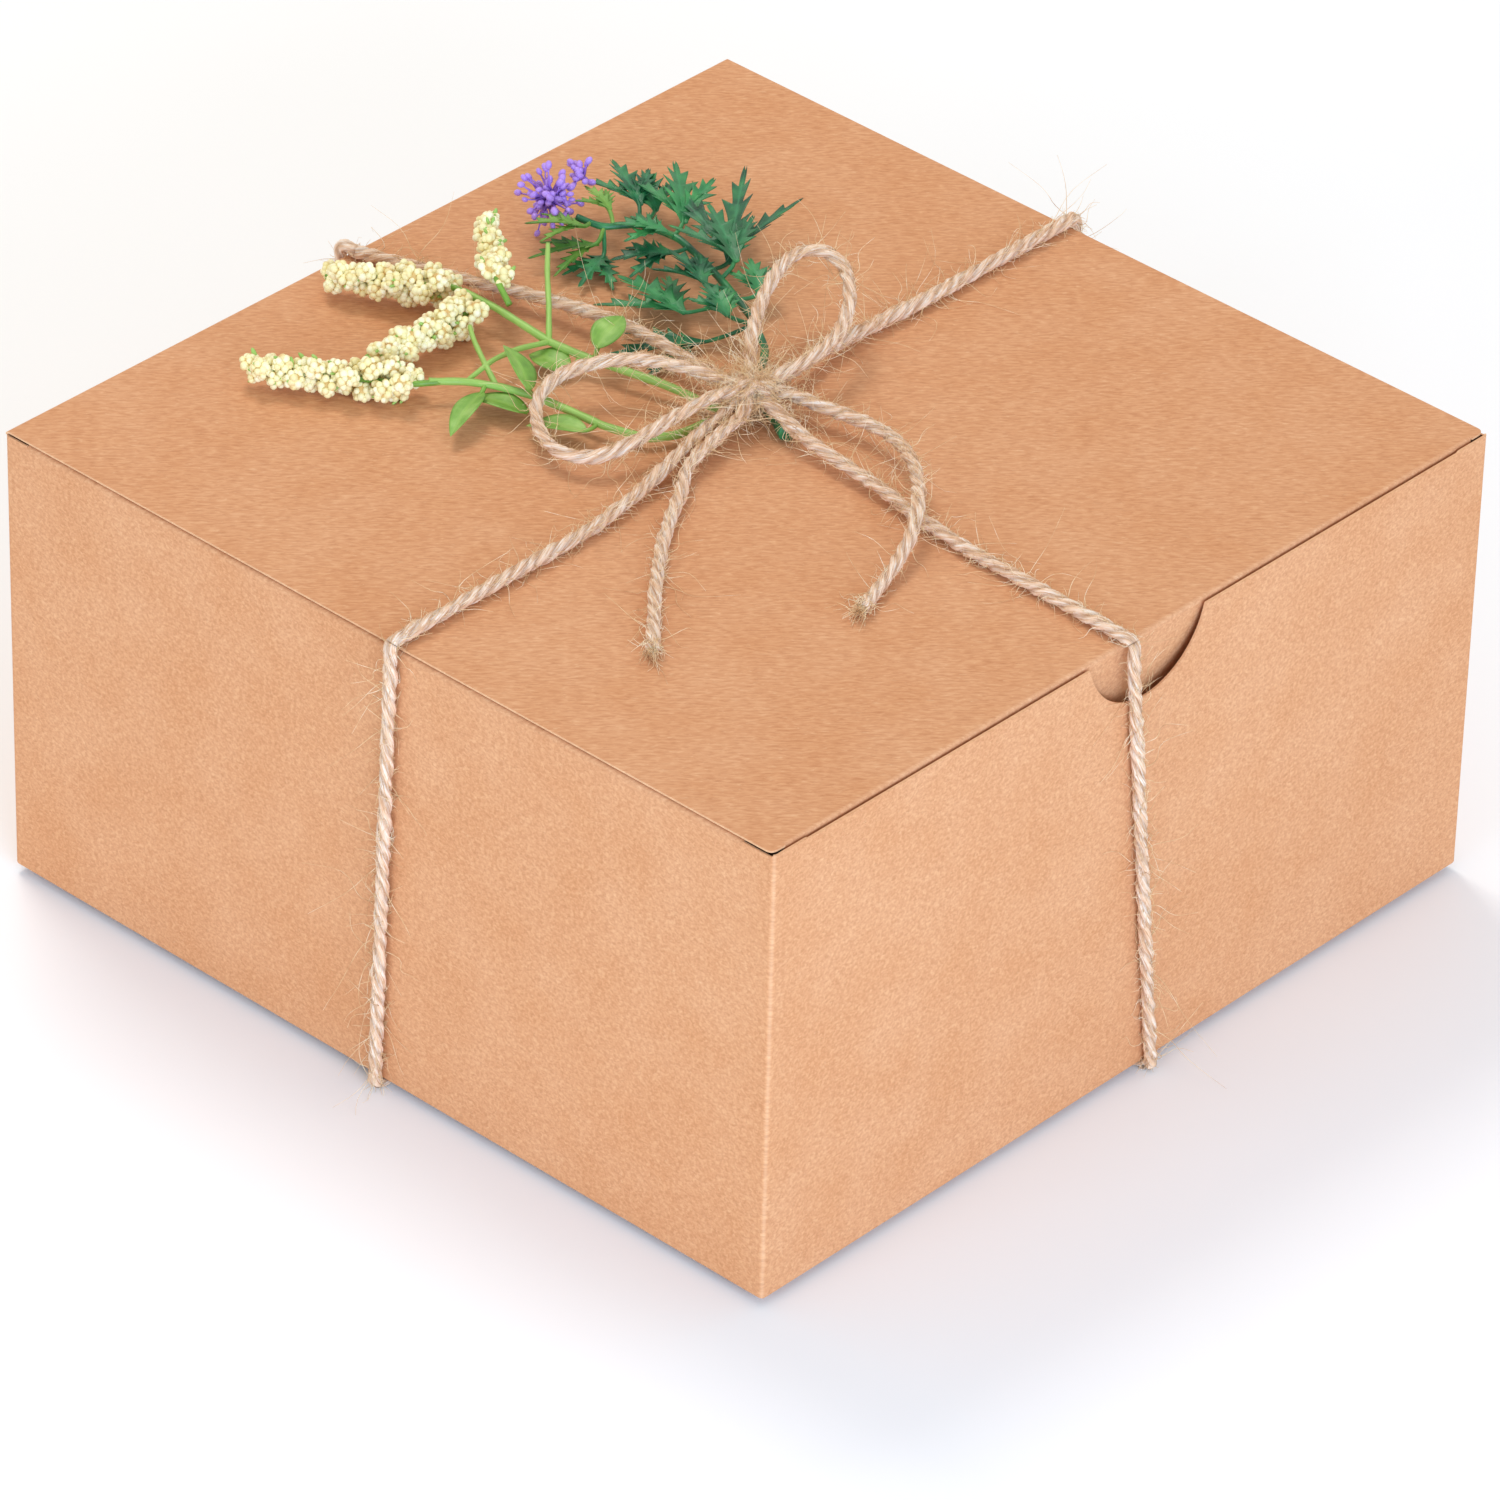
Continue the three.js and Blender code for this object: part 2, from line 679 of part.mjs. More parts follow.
const DARK_STEM_POINTS = [
  [2.6, -8, 1.7],
  [4.4, -2.7, 1.6],
  [7.4, 4.7, 1.6],
  [13, 9.4, 2.6],
  [19.7, 14, 4],
  [26.1, 24.3, 4.5],
  [29.5, 32.9, 5],
  [33.7, 43.6, 5],
  [36, 53, 5.5],
  [34, 61.5, 6],
  [27.5, 66, 6],
  [25.6, 71.2, 7],
];

/** The stems of the cream sprig: one moulded piece, joined where they branch. */
function creamStem() {
  const thin = 0.7 * CREAM_STEM;
  const branches = [
    [CREAM_LOWER_STEM, CREAM_STEM],
    [CREAM_UPPER_STEM, CREAM_STEM],
    [CREAM_MIDDLE_STEM, thin],
    [CREAM_LINK, thin],
    [CREAM_BRACT, thin],
  ];
  const solids = branches.map(([points, width]) => solidOf(rod(above(points), width, STEM_SIDES)));
  const joined = solids.reduce((whole, branch) => whole.add(branch));
  return named("cream_sprig_stem", geometryOf(joined), limeLeaf);
}

/** A blossom spike: a plump rod with tapering ends from its foot to its tip. */
function blossomSpike(name, foot, tip) {
  const [from, to] = above([foot, tip]);
  const length = from.distanceTo(to);
  const r = BLOSSOM_WIDTH / 2;
  const profile = [
    new THREE.Vector2(0, 0),
    new THREE.Vector2(0.7 * r, 0.06 * length),
    new THREE.Vector2(r, 0.25 * length),
    new THREE.Vector2(0.9 * r, 0.7 * length),
    new THREE.Vector2(0.55 * r, 0.94 * length),
    new THREE.Vector2(0, length),
  ];
  const mesh = named(name, new THREE.LatheGeometry(profile, BLOSSOM_SIDES), creamBlossom);
  mesh.position.copy(from);
  mesh.quaternion.setFromUnitVectors(rear, to.clone().sub(from).normalize());
  return mesh;
}

/** The outline of a smooth oval leaf that runs along +Y from its foot. */
function ovalOutline(length, width) {
  const outline = new THREE.Shape();
  outline.moveTo(0, 0);
  outline.bezierCurveTo(0.6 * width, 0.2 * length, 0.5 * width, 0.75 * length, 0, length);
  outline.bezierCurveTo(-0.5 * width, 0.75 * length, -0.6 * width, 0.2 * length, 0, 0);
  return outline;
}

/** The outline of a toothed leaf: each side steps out to a tooth and back towards the rib. */
function toothedOutline(length, width) {
  const side = [];
  for (let i = 0; i < LEAF_TEETH; i += 1) {
    const reach = (width / 2) * Math.sin((Math.PI * (i + 0.9)) / (LEAF_TEETH + 0.6));
    side.push([0.35 * reach, ((i + 0.35) / LEAF_TEETH) * length]);
    side.push([reach, ((i + 0.85) / LEAF_TEETH) * length]);
  }
  const mirrored = side.map(([x, y]) => [-x, y]).reverse();
  return polygon([[0.4, 0], ...side, [0, 1.04 * length], ...mirrored, [-0.4, 0]]);
}

/** A leaf from its foot to its tip, rolled about its own length. */
function leaf(name, outlineOf, width, material, foot, tip, roll) {
  const [from, to] = above([foot, tip]);
  const along = to.clone().sub(from);
  const length = along.length();
  along.normalize();
  const across = along.clone().cross(up).normalize().applyAxisAngle(along, roll);
  const normal = across.clone().cross(along);
  const blade = new THREE.ExtrudeGeometry(outlineOf(length, width), {
    depth: LEAF_THICKNESS,
    bevelEnabled: false,
    curveSegments: 5,
  });
  blade.translate(0, 0, -LEAF_THICKNESS / 2);
  const mesh = turned(named(name, blade, material), across, along, normal);
  mesh.position.copy(from);
  return mesh;
}

// Foot, tip, width and roll of each leaf of the cream sprig.
const OVAL_LEAVES = [
  [[-26.6, 33.4, 6.2], [-22.6, 44.4, 10], 6, 0.5],
  [[-6.8, 34.6, 6.6], [4, 37.6, 8], 6, 0.1],
  [[-30.4, 42.4, 3.6], [-45.5, 36.2, 3], 5, 0.2],
  [[-28.6, 32, 2.6], [-31.6, 45, 1.6], 6, 0.1],
  [[-11.4, 37.4, 2.2], [-12.2, 47.4, 2], 6.5, -0.1],
  [[-26, 18.4, 3.4], [-31.6, 29.4, 2.2], 6.5, 0.1],
];

// Foot, tip, width and roll of each leaf of the dark sprig.
const TOOTHED_LEAVES = [
  [[38.2, 65.6, 6.8], [45, 80, 8], 6.5, 0.2],
  [[40.4, 63.4, 5.4], [48.6, 73.6, 7], 6, -0.1],
  [[39.8, 55.2, 6.4], [52, 69.4, 9], 8, 0.3],
  [[36.2, 39.4, 5.4], [60.4, 57.8, 9], 7, -0.3],
  [[34.6, 36, 8], [44.4, 53, 9.6], 7, 0.1],
  [[33.4, 53.6, 7.8], [26.6, 61.6, 9], 7, 0.1],
  [[31.8, 50.6, 5], [22.4, 58, 4], 7, 0],
  [[23.4, 66.6, 7.8], [15, 74.6, 8.5], 5, 0.2],
  [[31.8, 67.6, 7.6], [33, 76, 8.8], 4, 0.1],
  [[24.8, 64.2, 4], [12.6, 71.2, 3], 5, 0.1],
  [[25.2, 62.8, 1.8], [13.4, 58.4, 1.6], 6, 0],
  [[17.4, 33.8, 4.4], [19.8, 54, 3], 7, 0.1],
  [[24.8, 35.2, 7.4], [27.4, 47.4, 8.6], 6, 0.3],
  [[19.6, 24.2, 7], [22.6, 33.6, 9], 6, 0.1],
  [[32.4, 27.4, 5], [38.2, 35.8, 7], 5, 0.1],
  [[16.2, 26.6, 1.6], [-1, 36.8, 1.5], 5, 0],
];

// Foot and tip of each blossom spike of the cream sprig.
const BLOSSOM_SPIKES = {
  cream_blossom_left: [[-38.4, 53, 4.2], [-57.6, 80.2, 4.2]],
  cream_blossom_middle: [[-12.2, 62.8, 5.2], [-37, 63.6, 5.2]],
  cream_blossom_rear: [[-9.6, 71.4, 6], [-22.6, 93.4, 4.6]],
  cream_blossom_upright: [[-6, 62.6, 10], [9, 80, 10.5]],
};
const LAVENDER_AT = [26.4, 79.4, 8];

function addSprigs(sprigs) {
  sprigs.add(creamStem());
  for (const [name, [foot, tip]] of Object.entries(BLOSSOM_SPIKES)) {
    sprigs.add(blossomSpike(name, foot, tip));
  }
  OVAL_LEAVES.forEach(([foot, tip, width, roll], i) => {
    sprigs.add(leaf("cream_leaf_" + (i + 1), ovalOutline, width, limeLeaf, foot, tip, roll));
  });
  const darkStem = rod(above(DARK_STEM_POINTS), DARK_STEM, STEM_SIDES);
  sprigs.add(named("dark_sprig_stem", darkStem, darkLeaf));
  const head = named("lavender_head", new THREE.IcosahedronGeometry(LAVENDER_RADIUS, 1), lavender);
  head.position.copy(above([LAVENDER_AT])[0]);
  sprigs.add(head);
  TOOTHED_LEAVES.forEach(([foot, tip, width, roll], i) => {
    sprigs.add(leaf("dark_leaf_" + (i + 1), toothedOutline, width, darkLeaf, foot, tip, roll));
  });
}

// ---- Assembly ----

const giftBox = new THREE.Group();
const carton = new THREE.Group();
const twine = new THREE.Group();
const sprigs = new THREE.Group();
addWalls(carton);
addBottom(carton);
addLid(carton);
addWrap(twine);
addUnderTwine(twine);
addBow(twine);
addSprigs(sprigs);
giftBox.add(carton, twine, sprigs);

export default giftBox;
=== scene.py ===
"""Gift box: a kraft carton tied crosswise with jute twine, with two flower sprigs under the bow.

Everything is laid out in millimetres and put into the meshes in metres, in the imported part's frame.
"""

import bpy
import numpy as np
from mathutils import Matrix, Vector


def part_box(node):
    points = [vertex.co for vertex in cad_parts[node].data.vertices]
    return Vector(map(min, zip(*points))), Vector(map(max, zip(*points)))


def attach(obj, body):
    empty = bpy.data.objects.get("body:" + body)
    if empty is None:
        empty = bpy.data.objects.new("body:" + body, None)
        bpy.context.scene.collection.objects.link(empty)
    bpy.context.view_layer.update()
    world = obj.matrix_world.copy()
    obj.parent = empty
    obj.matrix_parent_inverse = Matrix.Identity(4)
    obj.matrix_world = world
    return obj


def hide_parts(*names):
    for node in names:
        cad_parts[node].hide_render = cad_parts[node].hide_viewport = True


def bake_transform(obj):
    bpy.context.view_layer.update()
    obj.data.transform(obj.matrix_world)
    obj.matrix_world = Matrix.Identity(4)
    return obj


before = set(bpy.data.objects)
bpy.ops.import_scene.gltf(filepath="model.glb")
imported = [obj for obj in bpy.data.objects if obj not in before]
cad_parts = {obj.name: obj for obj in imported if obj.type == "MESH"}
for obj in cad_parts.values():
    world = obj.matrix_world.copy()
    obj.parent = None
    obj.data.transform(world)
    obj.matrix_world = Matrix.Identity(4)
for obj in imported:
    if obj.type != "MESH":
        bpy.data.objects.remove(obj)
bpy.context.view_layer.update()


# ---- Camera ----
# A long lens that looks down on the corner between the left wall and the front wall.
EYE = Vector((-1.18554, -1.07997, 1.11784))
LENS = 235.23
yaw, pitch, roll = np.radians([42.265, -34.174, 1.54])
ahead = Vector((np.cos(pitch) * np.cos(yaw), np.cos(pitch) * np.sin(yaw), np.sin(pitch)))
level = ahead.cross(Vector((0, 0, 1))).normalized()
overhead = level.cross(ahead)
camera_right = level * np.cos(roll) + overhead * np.sin(roll)
camera_up = overhead * np.cos(roll) - level * np.sin(roll)
camera = bpy.data.objects.new("camera", bpy.data.cameras.new("camera"))
camera.data.lens = LENS
camera.data.sensor_width = 36
camera.data.clip_end = 20
turned = Matrix((camera_right, camera_up, -ahead)).transposed().to_4x4()
camera.matrix_world = Matrix.Translation(EYE) @ turned
bpy.context.scene.collection.objects.link(camera)
bpy.context.scene.camera = camera


# ---- Twine round the box ----
# Three-ply jute twine, 2.8 mm thick, soft and hairy. It is wound crosswise round the closed box:
# four strands run over the lid from the knot, go down the walls and meet under the bottom.
MM = 0.001
TWINE = 2.8
PITCH = 12.5  # length of one full turn of the three plies
RING = 0.5  # spacing of the rings of a strand
SIDES = 24
REST = 1.7  # from the surface that the twine lies on to its middle
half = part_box("front_wall")[1].x / MM
lid_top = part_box("lid_panel")[1].z / MM
UP = np.array([0.0, 0.0, 1.0])
LEFT, RIGHT = np.array([-1.0, 0.0, 0.0]), np.array([1.0, 0.0, 0.0])
FRONT, REAR = np.array([0.0, -1.0, 0.0]), np.array([0.0, 1.0, 0.0])


def unit(vectors):
    """Vectors over their own lengths."""
    return vectors / np.maximum(np.linalg.norm(vectors, axis=-1, keepdims=True), 1e-9)


def run_of(route):
    """How far each point of a route is from its start, along the route."""
    steps = np.linalg.norm(np.diff(route, axis=0), axis=1)
    return np.concatenate([[0.0], np.cumsum(steps)])


def even(route, step):
    """The same route with its points at even distances of about one step."""
    route = np.array(route, float)
    run = run_of(route)
    stations = np.linspace(0, run[-1], max(2, round(run[-1] / step) + 1))
    return np.stack([np.interp(stations, run, route[:, k]) for k in range(3)], axis=1)


def eased(points, step, soften):
    """Evenly spaced points on a softened route.

    Each point is the bell-weighted mean of its neighbours within half of the softening length, and
    the route is mirrored through its two ends, which stay where they are.
    """
    route = even(points, step)
    reach = min(int(soften / step / 2), len(route) - 1)
    before = 2 * route[0] - route[reach:0:-1]
    after = 2 * route[-1] - route[-2 : -reach - 2 : -1]
    bell = np.hanning(2 * reach + 3)[1:-1]
    longer = np.vstack([before, route, after])
    softened = [np.convolve(longer[:, k], bell / bell.sum(), "valid") for k in range(3)]
    return np.stack(softened, axis=1)


def circle(count):
    """The angles of some places spread evenly over one full turn."""
    return 2 * np.pi * np.arange(count) / count


def spokes(turn, side, over):
    """Directions round an axis: cosine of the turn * side + sine of the turn * over."""
    return np.cos(turn)[:, None] * side[..., None, :] + np.sin(turn)[:, None] * over[..., None, :]


def carried(route, facing, radii):
    """A round section carried along a route: point = route + radius * spoke.

    The side is square to the route and to the facing direction, and the turn starts opposite that.
    """
    way = unit(np.gradient(route, axis=0, edge_order=2))
    side = unit(np.cross(np.broadcast_to(facing, way.shape), way))
    over = np.cross(way, side)
    around = spokes(-np.pi / 2 + circle(radii.shape[1]), side, over)
    return route[:, None] + radii[:, :, None] * around


def band(rings, steps):
    """The quads of a grid: the ring of each corner, and its place from 0 up to the number of steps."""
    ring, place = np.meshgrid(np.arange(rings - 1), np.arange(steps), indexing="ij")
    corner_ring = np.stack([ring, ring, ring + 1, ring + 1], -1).reshape(-1, 4)
    corner_place = np.stack([place, place + 1, place + 1, place], -1).reshape(-1, 4)
    return corner_ring, corner_place


def tube_skin(grid):
    """Faces of a tube of rings with a fan at each end, and each corner's (ring, place in the ring)."""
    rings, sides = grid.shape[:2]
    corner_ring, corner_place = band(rings, sides)
    points = np.vstack([grid.reshape(-1, 3), grid[0].mean(0), grid[-1].mean(0)])
    a, b = np.arange(sides), np.arange(sides) + 1
    last = (rings - 1) * sides
    near = np.stack([np.full(sides, rings * sides), b % sides, a], -1)
    far = np.stack([np.full(sides, rings * sides + 1), last + a, last + b % sides], -1)
    faces = [corner_ring * sides + corner_place % sides, near, far]
    near_marks = np.stack([0 * near, np.stack([a, b, a], -1)], -1)
    far_marks = np.stack([0 * far + rings - 1, np.stack([a, a, b], -1)], -1)
    side_marks = np.stack([corner_ring, corner_place], -1)
    marks = np.concatenate([m.reshape(-1, 2) for m in (side_marks, near_marks, far_marks)])
    return points, faces, marks


def piece(name, points, faces, material, marks=None, values=None, flat=None):
    """A mesh at the origin from points in millimetres and arrays of faces.

    Marks are each corner's place on the piece's own map, values are numbers kept for each point,
    and flat tells which faces are shaded flat.
    """
    mesh = bpy.data.meshes.new(name)
    corners = np.concatenate([f.ravel() for f in faces]).astype(np.int32)
    sizes = np.concatenate([np.full(len(f), f.shape[1]) for f in faces])
    mesh.vertices.add(len(points))
    mesh.vertices.foreach_set("co", (points * MM).astype(np.float32).ravel())
    mesh.loops.add(len(corners))
    mesh.loops.foreach_set("vertex_index", corners)
    mesh.polygons.add(len(sizes))
    mesh.polygons.foreach_set("loop_start", (np.cumsum(sizes) - sizes).astype(np.int32))
    mesh.update(calc_edges=True)
    smooth = np.ones(len(sizes), bool) if flat is None else ~flat
    mesh.polygons.foreach_set("use_smooth", smooth)
    if marks is not None:
        mesh.uv_layers.new(name="place").data.foreach_set("uv", marks.astype(np.float32).ravel())
    for key, numbers in (values or {}).items():
        kept = mesh.attributes.new(key, "FLOAT", "POINT")
        kept.data.foreach_set("value", np.broadcast_to(numbers, len(points)).astype(np.float32))
    mesh.materials.append(material)
    made = bpy.data.objects.new(name, mesh)
    bpy.context.scene.collection.objects.link(made)
    return made


def shade(code):
    """A colour written as six hexadecimal digits, as the shader's linear red, green, blue and alpha."""
    parts = np.array([int(code[i : i + 2], 16) for i in (0, 2, 4)]) / 255
    linear = np.where(parts < 0.04045, parts / 12.92, ((parts + 0.055) / 1.055) ** 2.4)
    return (*linear, 1.0)


def put(tree, kind, sockets=None, **settings):
    """Adds a node. The sockets are its inputs: values to set, or other nodes' outputs to link."""
    made = tree.nodes.new(kind)
    for key, value in settings.items():
        setattr(made, key, value)
    for key, value in (sockets or {}).items():
        if isinstance(value, bpy.types.NodeSocket):
            tree.links.new(value, made.inputs[key])
        else:
            made.inputs[key].default_value = value
    return made


def ramp(tree, factor, stops):
    """A colour ramp through (position, colour) stops."""
    made = put(tree, "ShaderNodeValToRGB", {"Fac": factor})
    marks_of = made.color_ramp.elements
    while len(marks_of) < len(stops):
        marks_of.new(0.5)
    for mark, (position, colour) in zip(marks_of, stops):
        mark.position = position
        mark.color = colour
    return made.outputs["Color"]


def blended(tree, factor, first, second, way="MIX"):
    """Two colours mixed: the first at factor 0, the second at factor 1."""
    made = put(tree, "ShaderNodeMix", data_type="RGBA", blend_type=way)
    for place, value in ((0, factor), (6, first), (7, second)):
        if isinstance(value, bpy.types.NodeSocket):
            tree.links.new(value, made.inputs[place])
        else:
            made.inputs[place].default_value = value
    return made.outputs[2]


def new_material(name, roughness, **constants):
    """A material: itself, its node tree, its Principled shader, and where a point is on the object."""
    material = bpy.data.materials.new(name)
    material.use_nodes = True
    tree = material.node_tree
    shader = tree.nodes["Principled BSDF"]
    shader.inputs["Roughness"].default_value = roughness
    for key, value in constants.items():
        shader.inputs[key.replace("_", " ")].default_value = value
    return material, tree, shader, put(tree, "ShaderNodeTexCoord").outputs["Object"]


def number(tree, name):
    """A number that is kept for each point or face of a piece."""
    return put(tree, "ShaderNodeAttribute", attribute_name=name).outputs["Fac"]


def part_of(tree, factor, share):
    """A mask times a share."""
    return put(tree, "ShaderNodeMath", {0: factor, 1: share}, operation="MULTIPLY").outputs[0]


def noise(tree, place, scale, detail=3.0, density=(1, 1, 1), turn=(0, 0, 0), distortion=0.0):
    """Noise on coordinates that are turned back and then multiplied by a density for each axis."""
    sockets = {"Vector": place, "Rotation": turn, "Scale": [1 / d for d in density]}
    moved = put(tree, "ShaderNodeMapping", sockets, vector_type="TEXTURE")
    kinds = {"Vector": moved.outputs[0], "Scale": scale, "Detail": detail, "Distortion": distortion}
    return put(tree, "ShaderNodeTexNoise", kinds).outputs["Fac"]


def bump(tree, shader, height, strength, distance):
    """Small relief: the height feeds the shader's normal."""
    sockets = {"Height": height, "Strength": strength, "Distance": distance}
    tree.links.new(put(tree, "ShaderNodeBump", sockets).outputs[0], shader.inputs["Normal"])


def jute_material():
    """Jute: long pale fibres that follow the plies, with painted shade that darkens the grooves between
    them.
    """
    material, tree, shader, where = new_material("jute_twine", 0.92, Specular_IOR_Level=0.15)
    mark = put(tree, "ShaderNodeUVMap", uv_map="place").outputs[0]
    groove = number(tree, "groove")
    fibre = noise(tree, mark, 1.0, 5.0, (2.2, 24.0, 1.0), distortion=1.0)
    patch = noise(tree, where, 90.0, 2.0)
    pale = ramp(tree, fibre, [(0.3, shade("c99a76")), (0.46, shade("f3ceaa")), (0.64, shade("fff4e4"))])
    tinted = blended(tree, patch, pale, shade("e9c8ac"), "MULTIPLY")
    soft = blended(tree, 0.5, pale, tinted)
    # Painted shade: the grooves between the plies are mixed up to halfway towards a dark brown.
    groove_shaded = blended(tree, part_of(tree, groove, 0.5), soft, shade("8f6145"))
    tree.links.new(groove_shaded, shader.inputs["Base Color"])
    bump(tree, shader, fibre, 0.8, 0.0004)
    return material


jute = jute_material()


def slow_waves(run, seed, lengths=(7.0, 17.0, 41.0)):
    """A sum of three sine waves along a strand with seeded starts, from about -1 to 1."""
    starts = np.random.default_rng(seed).uniform(0, 2 * np.pi, len(lengths))
    return sum(np.sin(2 * np.pi * run / w + s) for w, s in zip(lengths, starts)) / len(lengths)


def plies(run, seed, radius):
    """Radius of a three-ply twine at each ring and place, and how far down between the plies each point
    lies, which sets the painted groove shade.

    With b the angle from the nearest ply's crest, the radius is that of a circle of 0.61 whose middle
    is 0.39 off the twine's: 0.39 cos b + square root of (0.61 squared - (0.39 sin b) squared).
    """
    uneven = 0.12 * slow_waves(run, seed + 1)[:, None]
    phase = circle(SIDES)[None] + 2 * np.pi * (run[:, None] / PITCH + uneven)
    from_crest = np.mod(phase, 2 * np.pi / 3) - np.pi / 3
    lobe = 0.39 * np.cos(from_crest) + np.sqrt(0.61**2 - (0.39 * np.sin(from_crest)) ** 2)
    thickness = radius * (1 + 0.12 * slow_waves(run, seed))
    rough = np.random.default_rng(seed).normal(0, 0.03, lobe.shape)
    return thickness[:, None] * (lobe + rough), (1 - lobe) / (1 - lobe).max()


def fasten(made, body, slot, *nodes):
    """Puts a piece on its body and hides the CAD nodes that it stands in for. The slot is not used."""
    if body is not None:
        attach(made, body)
    if nodes:
        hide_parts(*nodes)


strands = []  # each strand's route, body and seed, for its loose fibres


def twine(name, route, facing, body, node, seed, radius=1.4, squeeze=None, before=0.0):
    """A piece of twine along a route that stands for its CAD node and rides on a body.

    Its plies go on from a run of twine that lies before it.
    """
    run = run_of(route) + before
    radii, groove = plies(run, seed, radius)
    grid = carried(route, facing, radii)
    if squeeze is not None:
        grid = squeeze(grid, route)
    points, faces, marks = tube_skin(grid)
    share = marks[:, 1] / SIDES
    place = np.stack([run[marks[:, 0]] / 10, share + 0.55 * run[marks[:, 0]] / PITCH], -1)
    depth = np.concatenate([groove.ravel(), [0.5, 0.5]])
    made = piece(name, points, faces, jute, place, {"groove": depth})
    fasten(made, body, "jute_twine", node)
    strands.append((route, body or "root", seed))
    return made


def over_lid(points):
    """Points [x, y, lift] as x, y, z: the lid's top, plus the rest height, plus lift diameters."""
    points = np.array(points, float)
    points[:, 2] = lid_top + REST + points[:, 2] * TWINE
    return points


def over_edge(edge, outward, first, last):
    """Points of the bend over an edge, between two angles in degrees from straight up."""
    angles = np.radians(np.linspace(first, last, 7))[:, None]
    return np.array(edge) + REST * (np.sin(angles) * outward + np.cos(angles) * UP)


knot_low, knot_high = (np.array(corner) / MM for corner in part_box("twine_knot"))
knot_middle = (knot_low + knot_high) / 2


def from_knot(points, both=False):
    """The route with a point inside the knot before its first point, and after its last one too."""
    points = over_lid(points)
    start = knot_middle + 0.3 * (points[0] - knot_middle)
    end = knot_middle + 0.3 * (points[-1] - knot_middle)
    return np.vstack([start, points, end]) if both else np.vstack([start, points])


LEFT_STRAND = [[-3.4, 2.4, 1.2], [-9.5, 2.6, 0.8], [-20.9, 0.2, 0.45], [-33.7, -2.4, 0.15]]
LEFT_STRAND += [[-48, -4.4, 0]]
RIGHT_STRAND = [[11, 4, 1.2], [20.1, 5.4, 0.8], [30.8, 7, 0.45], [42.5, 7.3, 0.15], [58, 6.9, 0]]
FRONT_STRAND = [[3.2, -4.4, 1.2], [1.8, -12, 0.65], [1, -23.3, 0.45], [0, -35, 0.3], [-1.6, -45, 0.15]]
FRONT_STRAND += [[-3, -58, 0]]
REAR_STRAND = [[4, 10.4, 1.2], [4.4, 17, 1.15], [5.2, 28.2, 1.3], [5.2, 39.4, 1.3], [3.4, 53.5, 0.9]]
REAR_STRAND += [[0.6, 66, 0.6], [-2.6, 77, 0.3]]
FOOT_HEIGHT = 1.9
UNDER_AT = -1.0  # Y of the twine that crosses under the box
FRONT_FOOT, REAR_FOOT = 7.0, -2.0  # X of the twine at the foot of the front and the rear
WRAP = {  # points over the lid, the edge, the wall's direction, the foot and the strand's seed
    "left": (LEFT_STRAND, [-half, -5, lid_top], LEFT, [-half - REST, UNDER_AT, FOOT_HEIGHT], 11),
    "right": (RIGHT_STRAND, [half, 7, lid_top], RIGHT, [half + REST, UNDER_AT, FOOT_HEIGHT], 23),
    "front": (FRONT_STRAND, [-4.5, -half, lid_top], FRONT, [FRONT_FOOT, -half - REST, FOOT_HEIGHT], 37),
}
PARTED, SLIT = 45.0, 1.5  # over an edge, the two strands meet halfway round the bend
for side, (hand_points, edge, outward, foot, seed) in WRAP.items():
    flat_run = np.vstack([from_knot(hand_points), np.array(edge) + REST * UP])
    top = even(np.vstack([eased(flat_run, RING, 14), over_edge(edge, outward, 8, PARTED - SLIT)]), RING)
    radii = np.linspace(1.7 if side == "right" else 1.45, 1.4, len(top))
    strand = twine("twine_over_lid_" + side, top, UP, "decoration", "twine_top_" + side, seed, radii)
    bend = over_edge(edge, outward, PARTED + SLIT, 90)
    down = even(np.vstack([bend, eased([bend[-1] - 3 * UP, foot], RING, 14)]), RING)
    node, before = "twine_drop_" + side, run_of(top)[-1]
    strand = twine("twine_down_" + side, down, outward, "root", node, seed, before=before)

# The rear strand stops just before the lid's crease. The twine behind it bends with the crease.
REAR_EXIT, REAR_GAP = -8.5, 3.0
rear_end = np.array([REAR_EXIT, half - REAR_GAP, lid_top + REST])
top = eased(np.vstack([from_knot(REAR_STRAND), rear_end]), RING, 14)
strand = twine("twine_over_lid_rear", top, UP, "decoration", "twine_top_rear", 41, 1.4)
bend = over_edge([REAR_EXIT, half, lid_top], REAR, 0, 90)
foot = [REAR_FOOT, half + REST, FOOT_HEIGHT]
rear_run = [rear_end + 0.1 * REAR, *bend, *eased([bend[-1] - 3 * UP, foot], RING, 14)]
down = even(rear_run, RING)
facing, before = unit(UP + REAR), run_of(top)[-1]
strand = twine("twine_down_rear", down, facing, None, "twine_drop_rear", 41, before=before)
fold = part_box("rear_wall")[1].z
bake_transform(strand)

# Under the box the twine is pressed flat on the floor, and its ends turn up into the strands.
PRESSED = 0.8  # half of its thickness there


def pressed(grid, route):
    """Flattens the sections that lie under the box: thinner upwards, wider sideways, flat below."""
    share = np.clip((3.2 - route[:, 2]) / 2.2, 0, 1)[:, None, None]  # all below 1, none above 3.2
    out = grid - route[:, None]
    flatter = out * (1 - share * np.array([-0.3, -0.3, 0.48]))
    moved = route[:, None] + flatter
    moved[..., 2] = np.maximum(moved[..., 2], 0.02)
    return moved


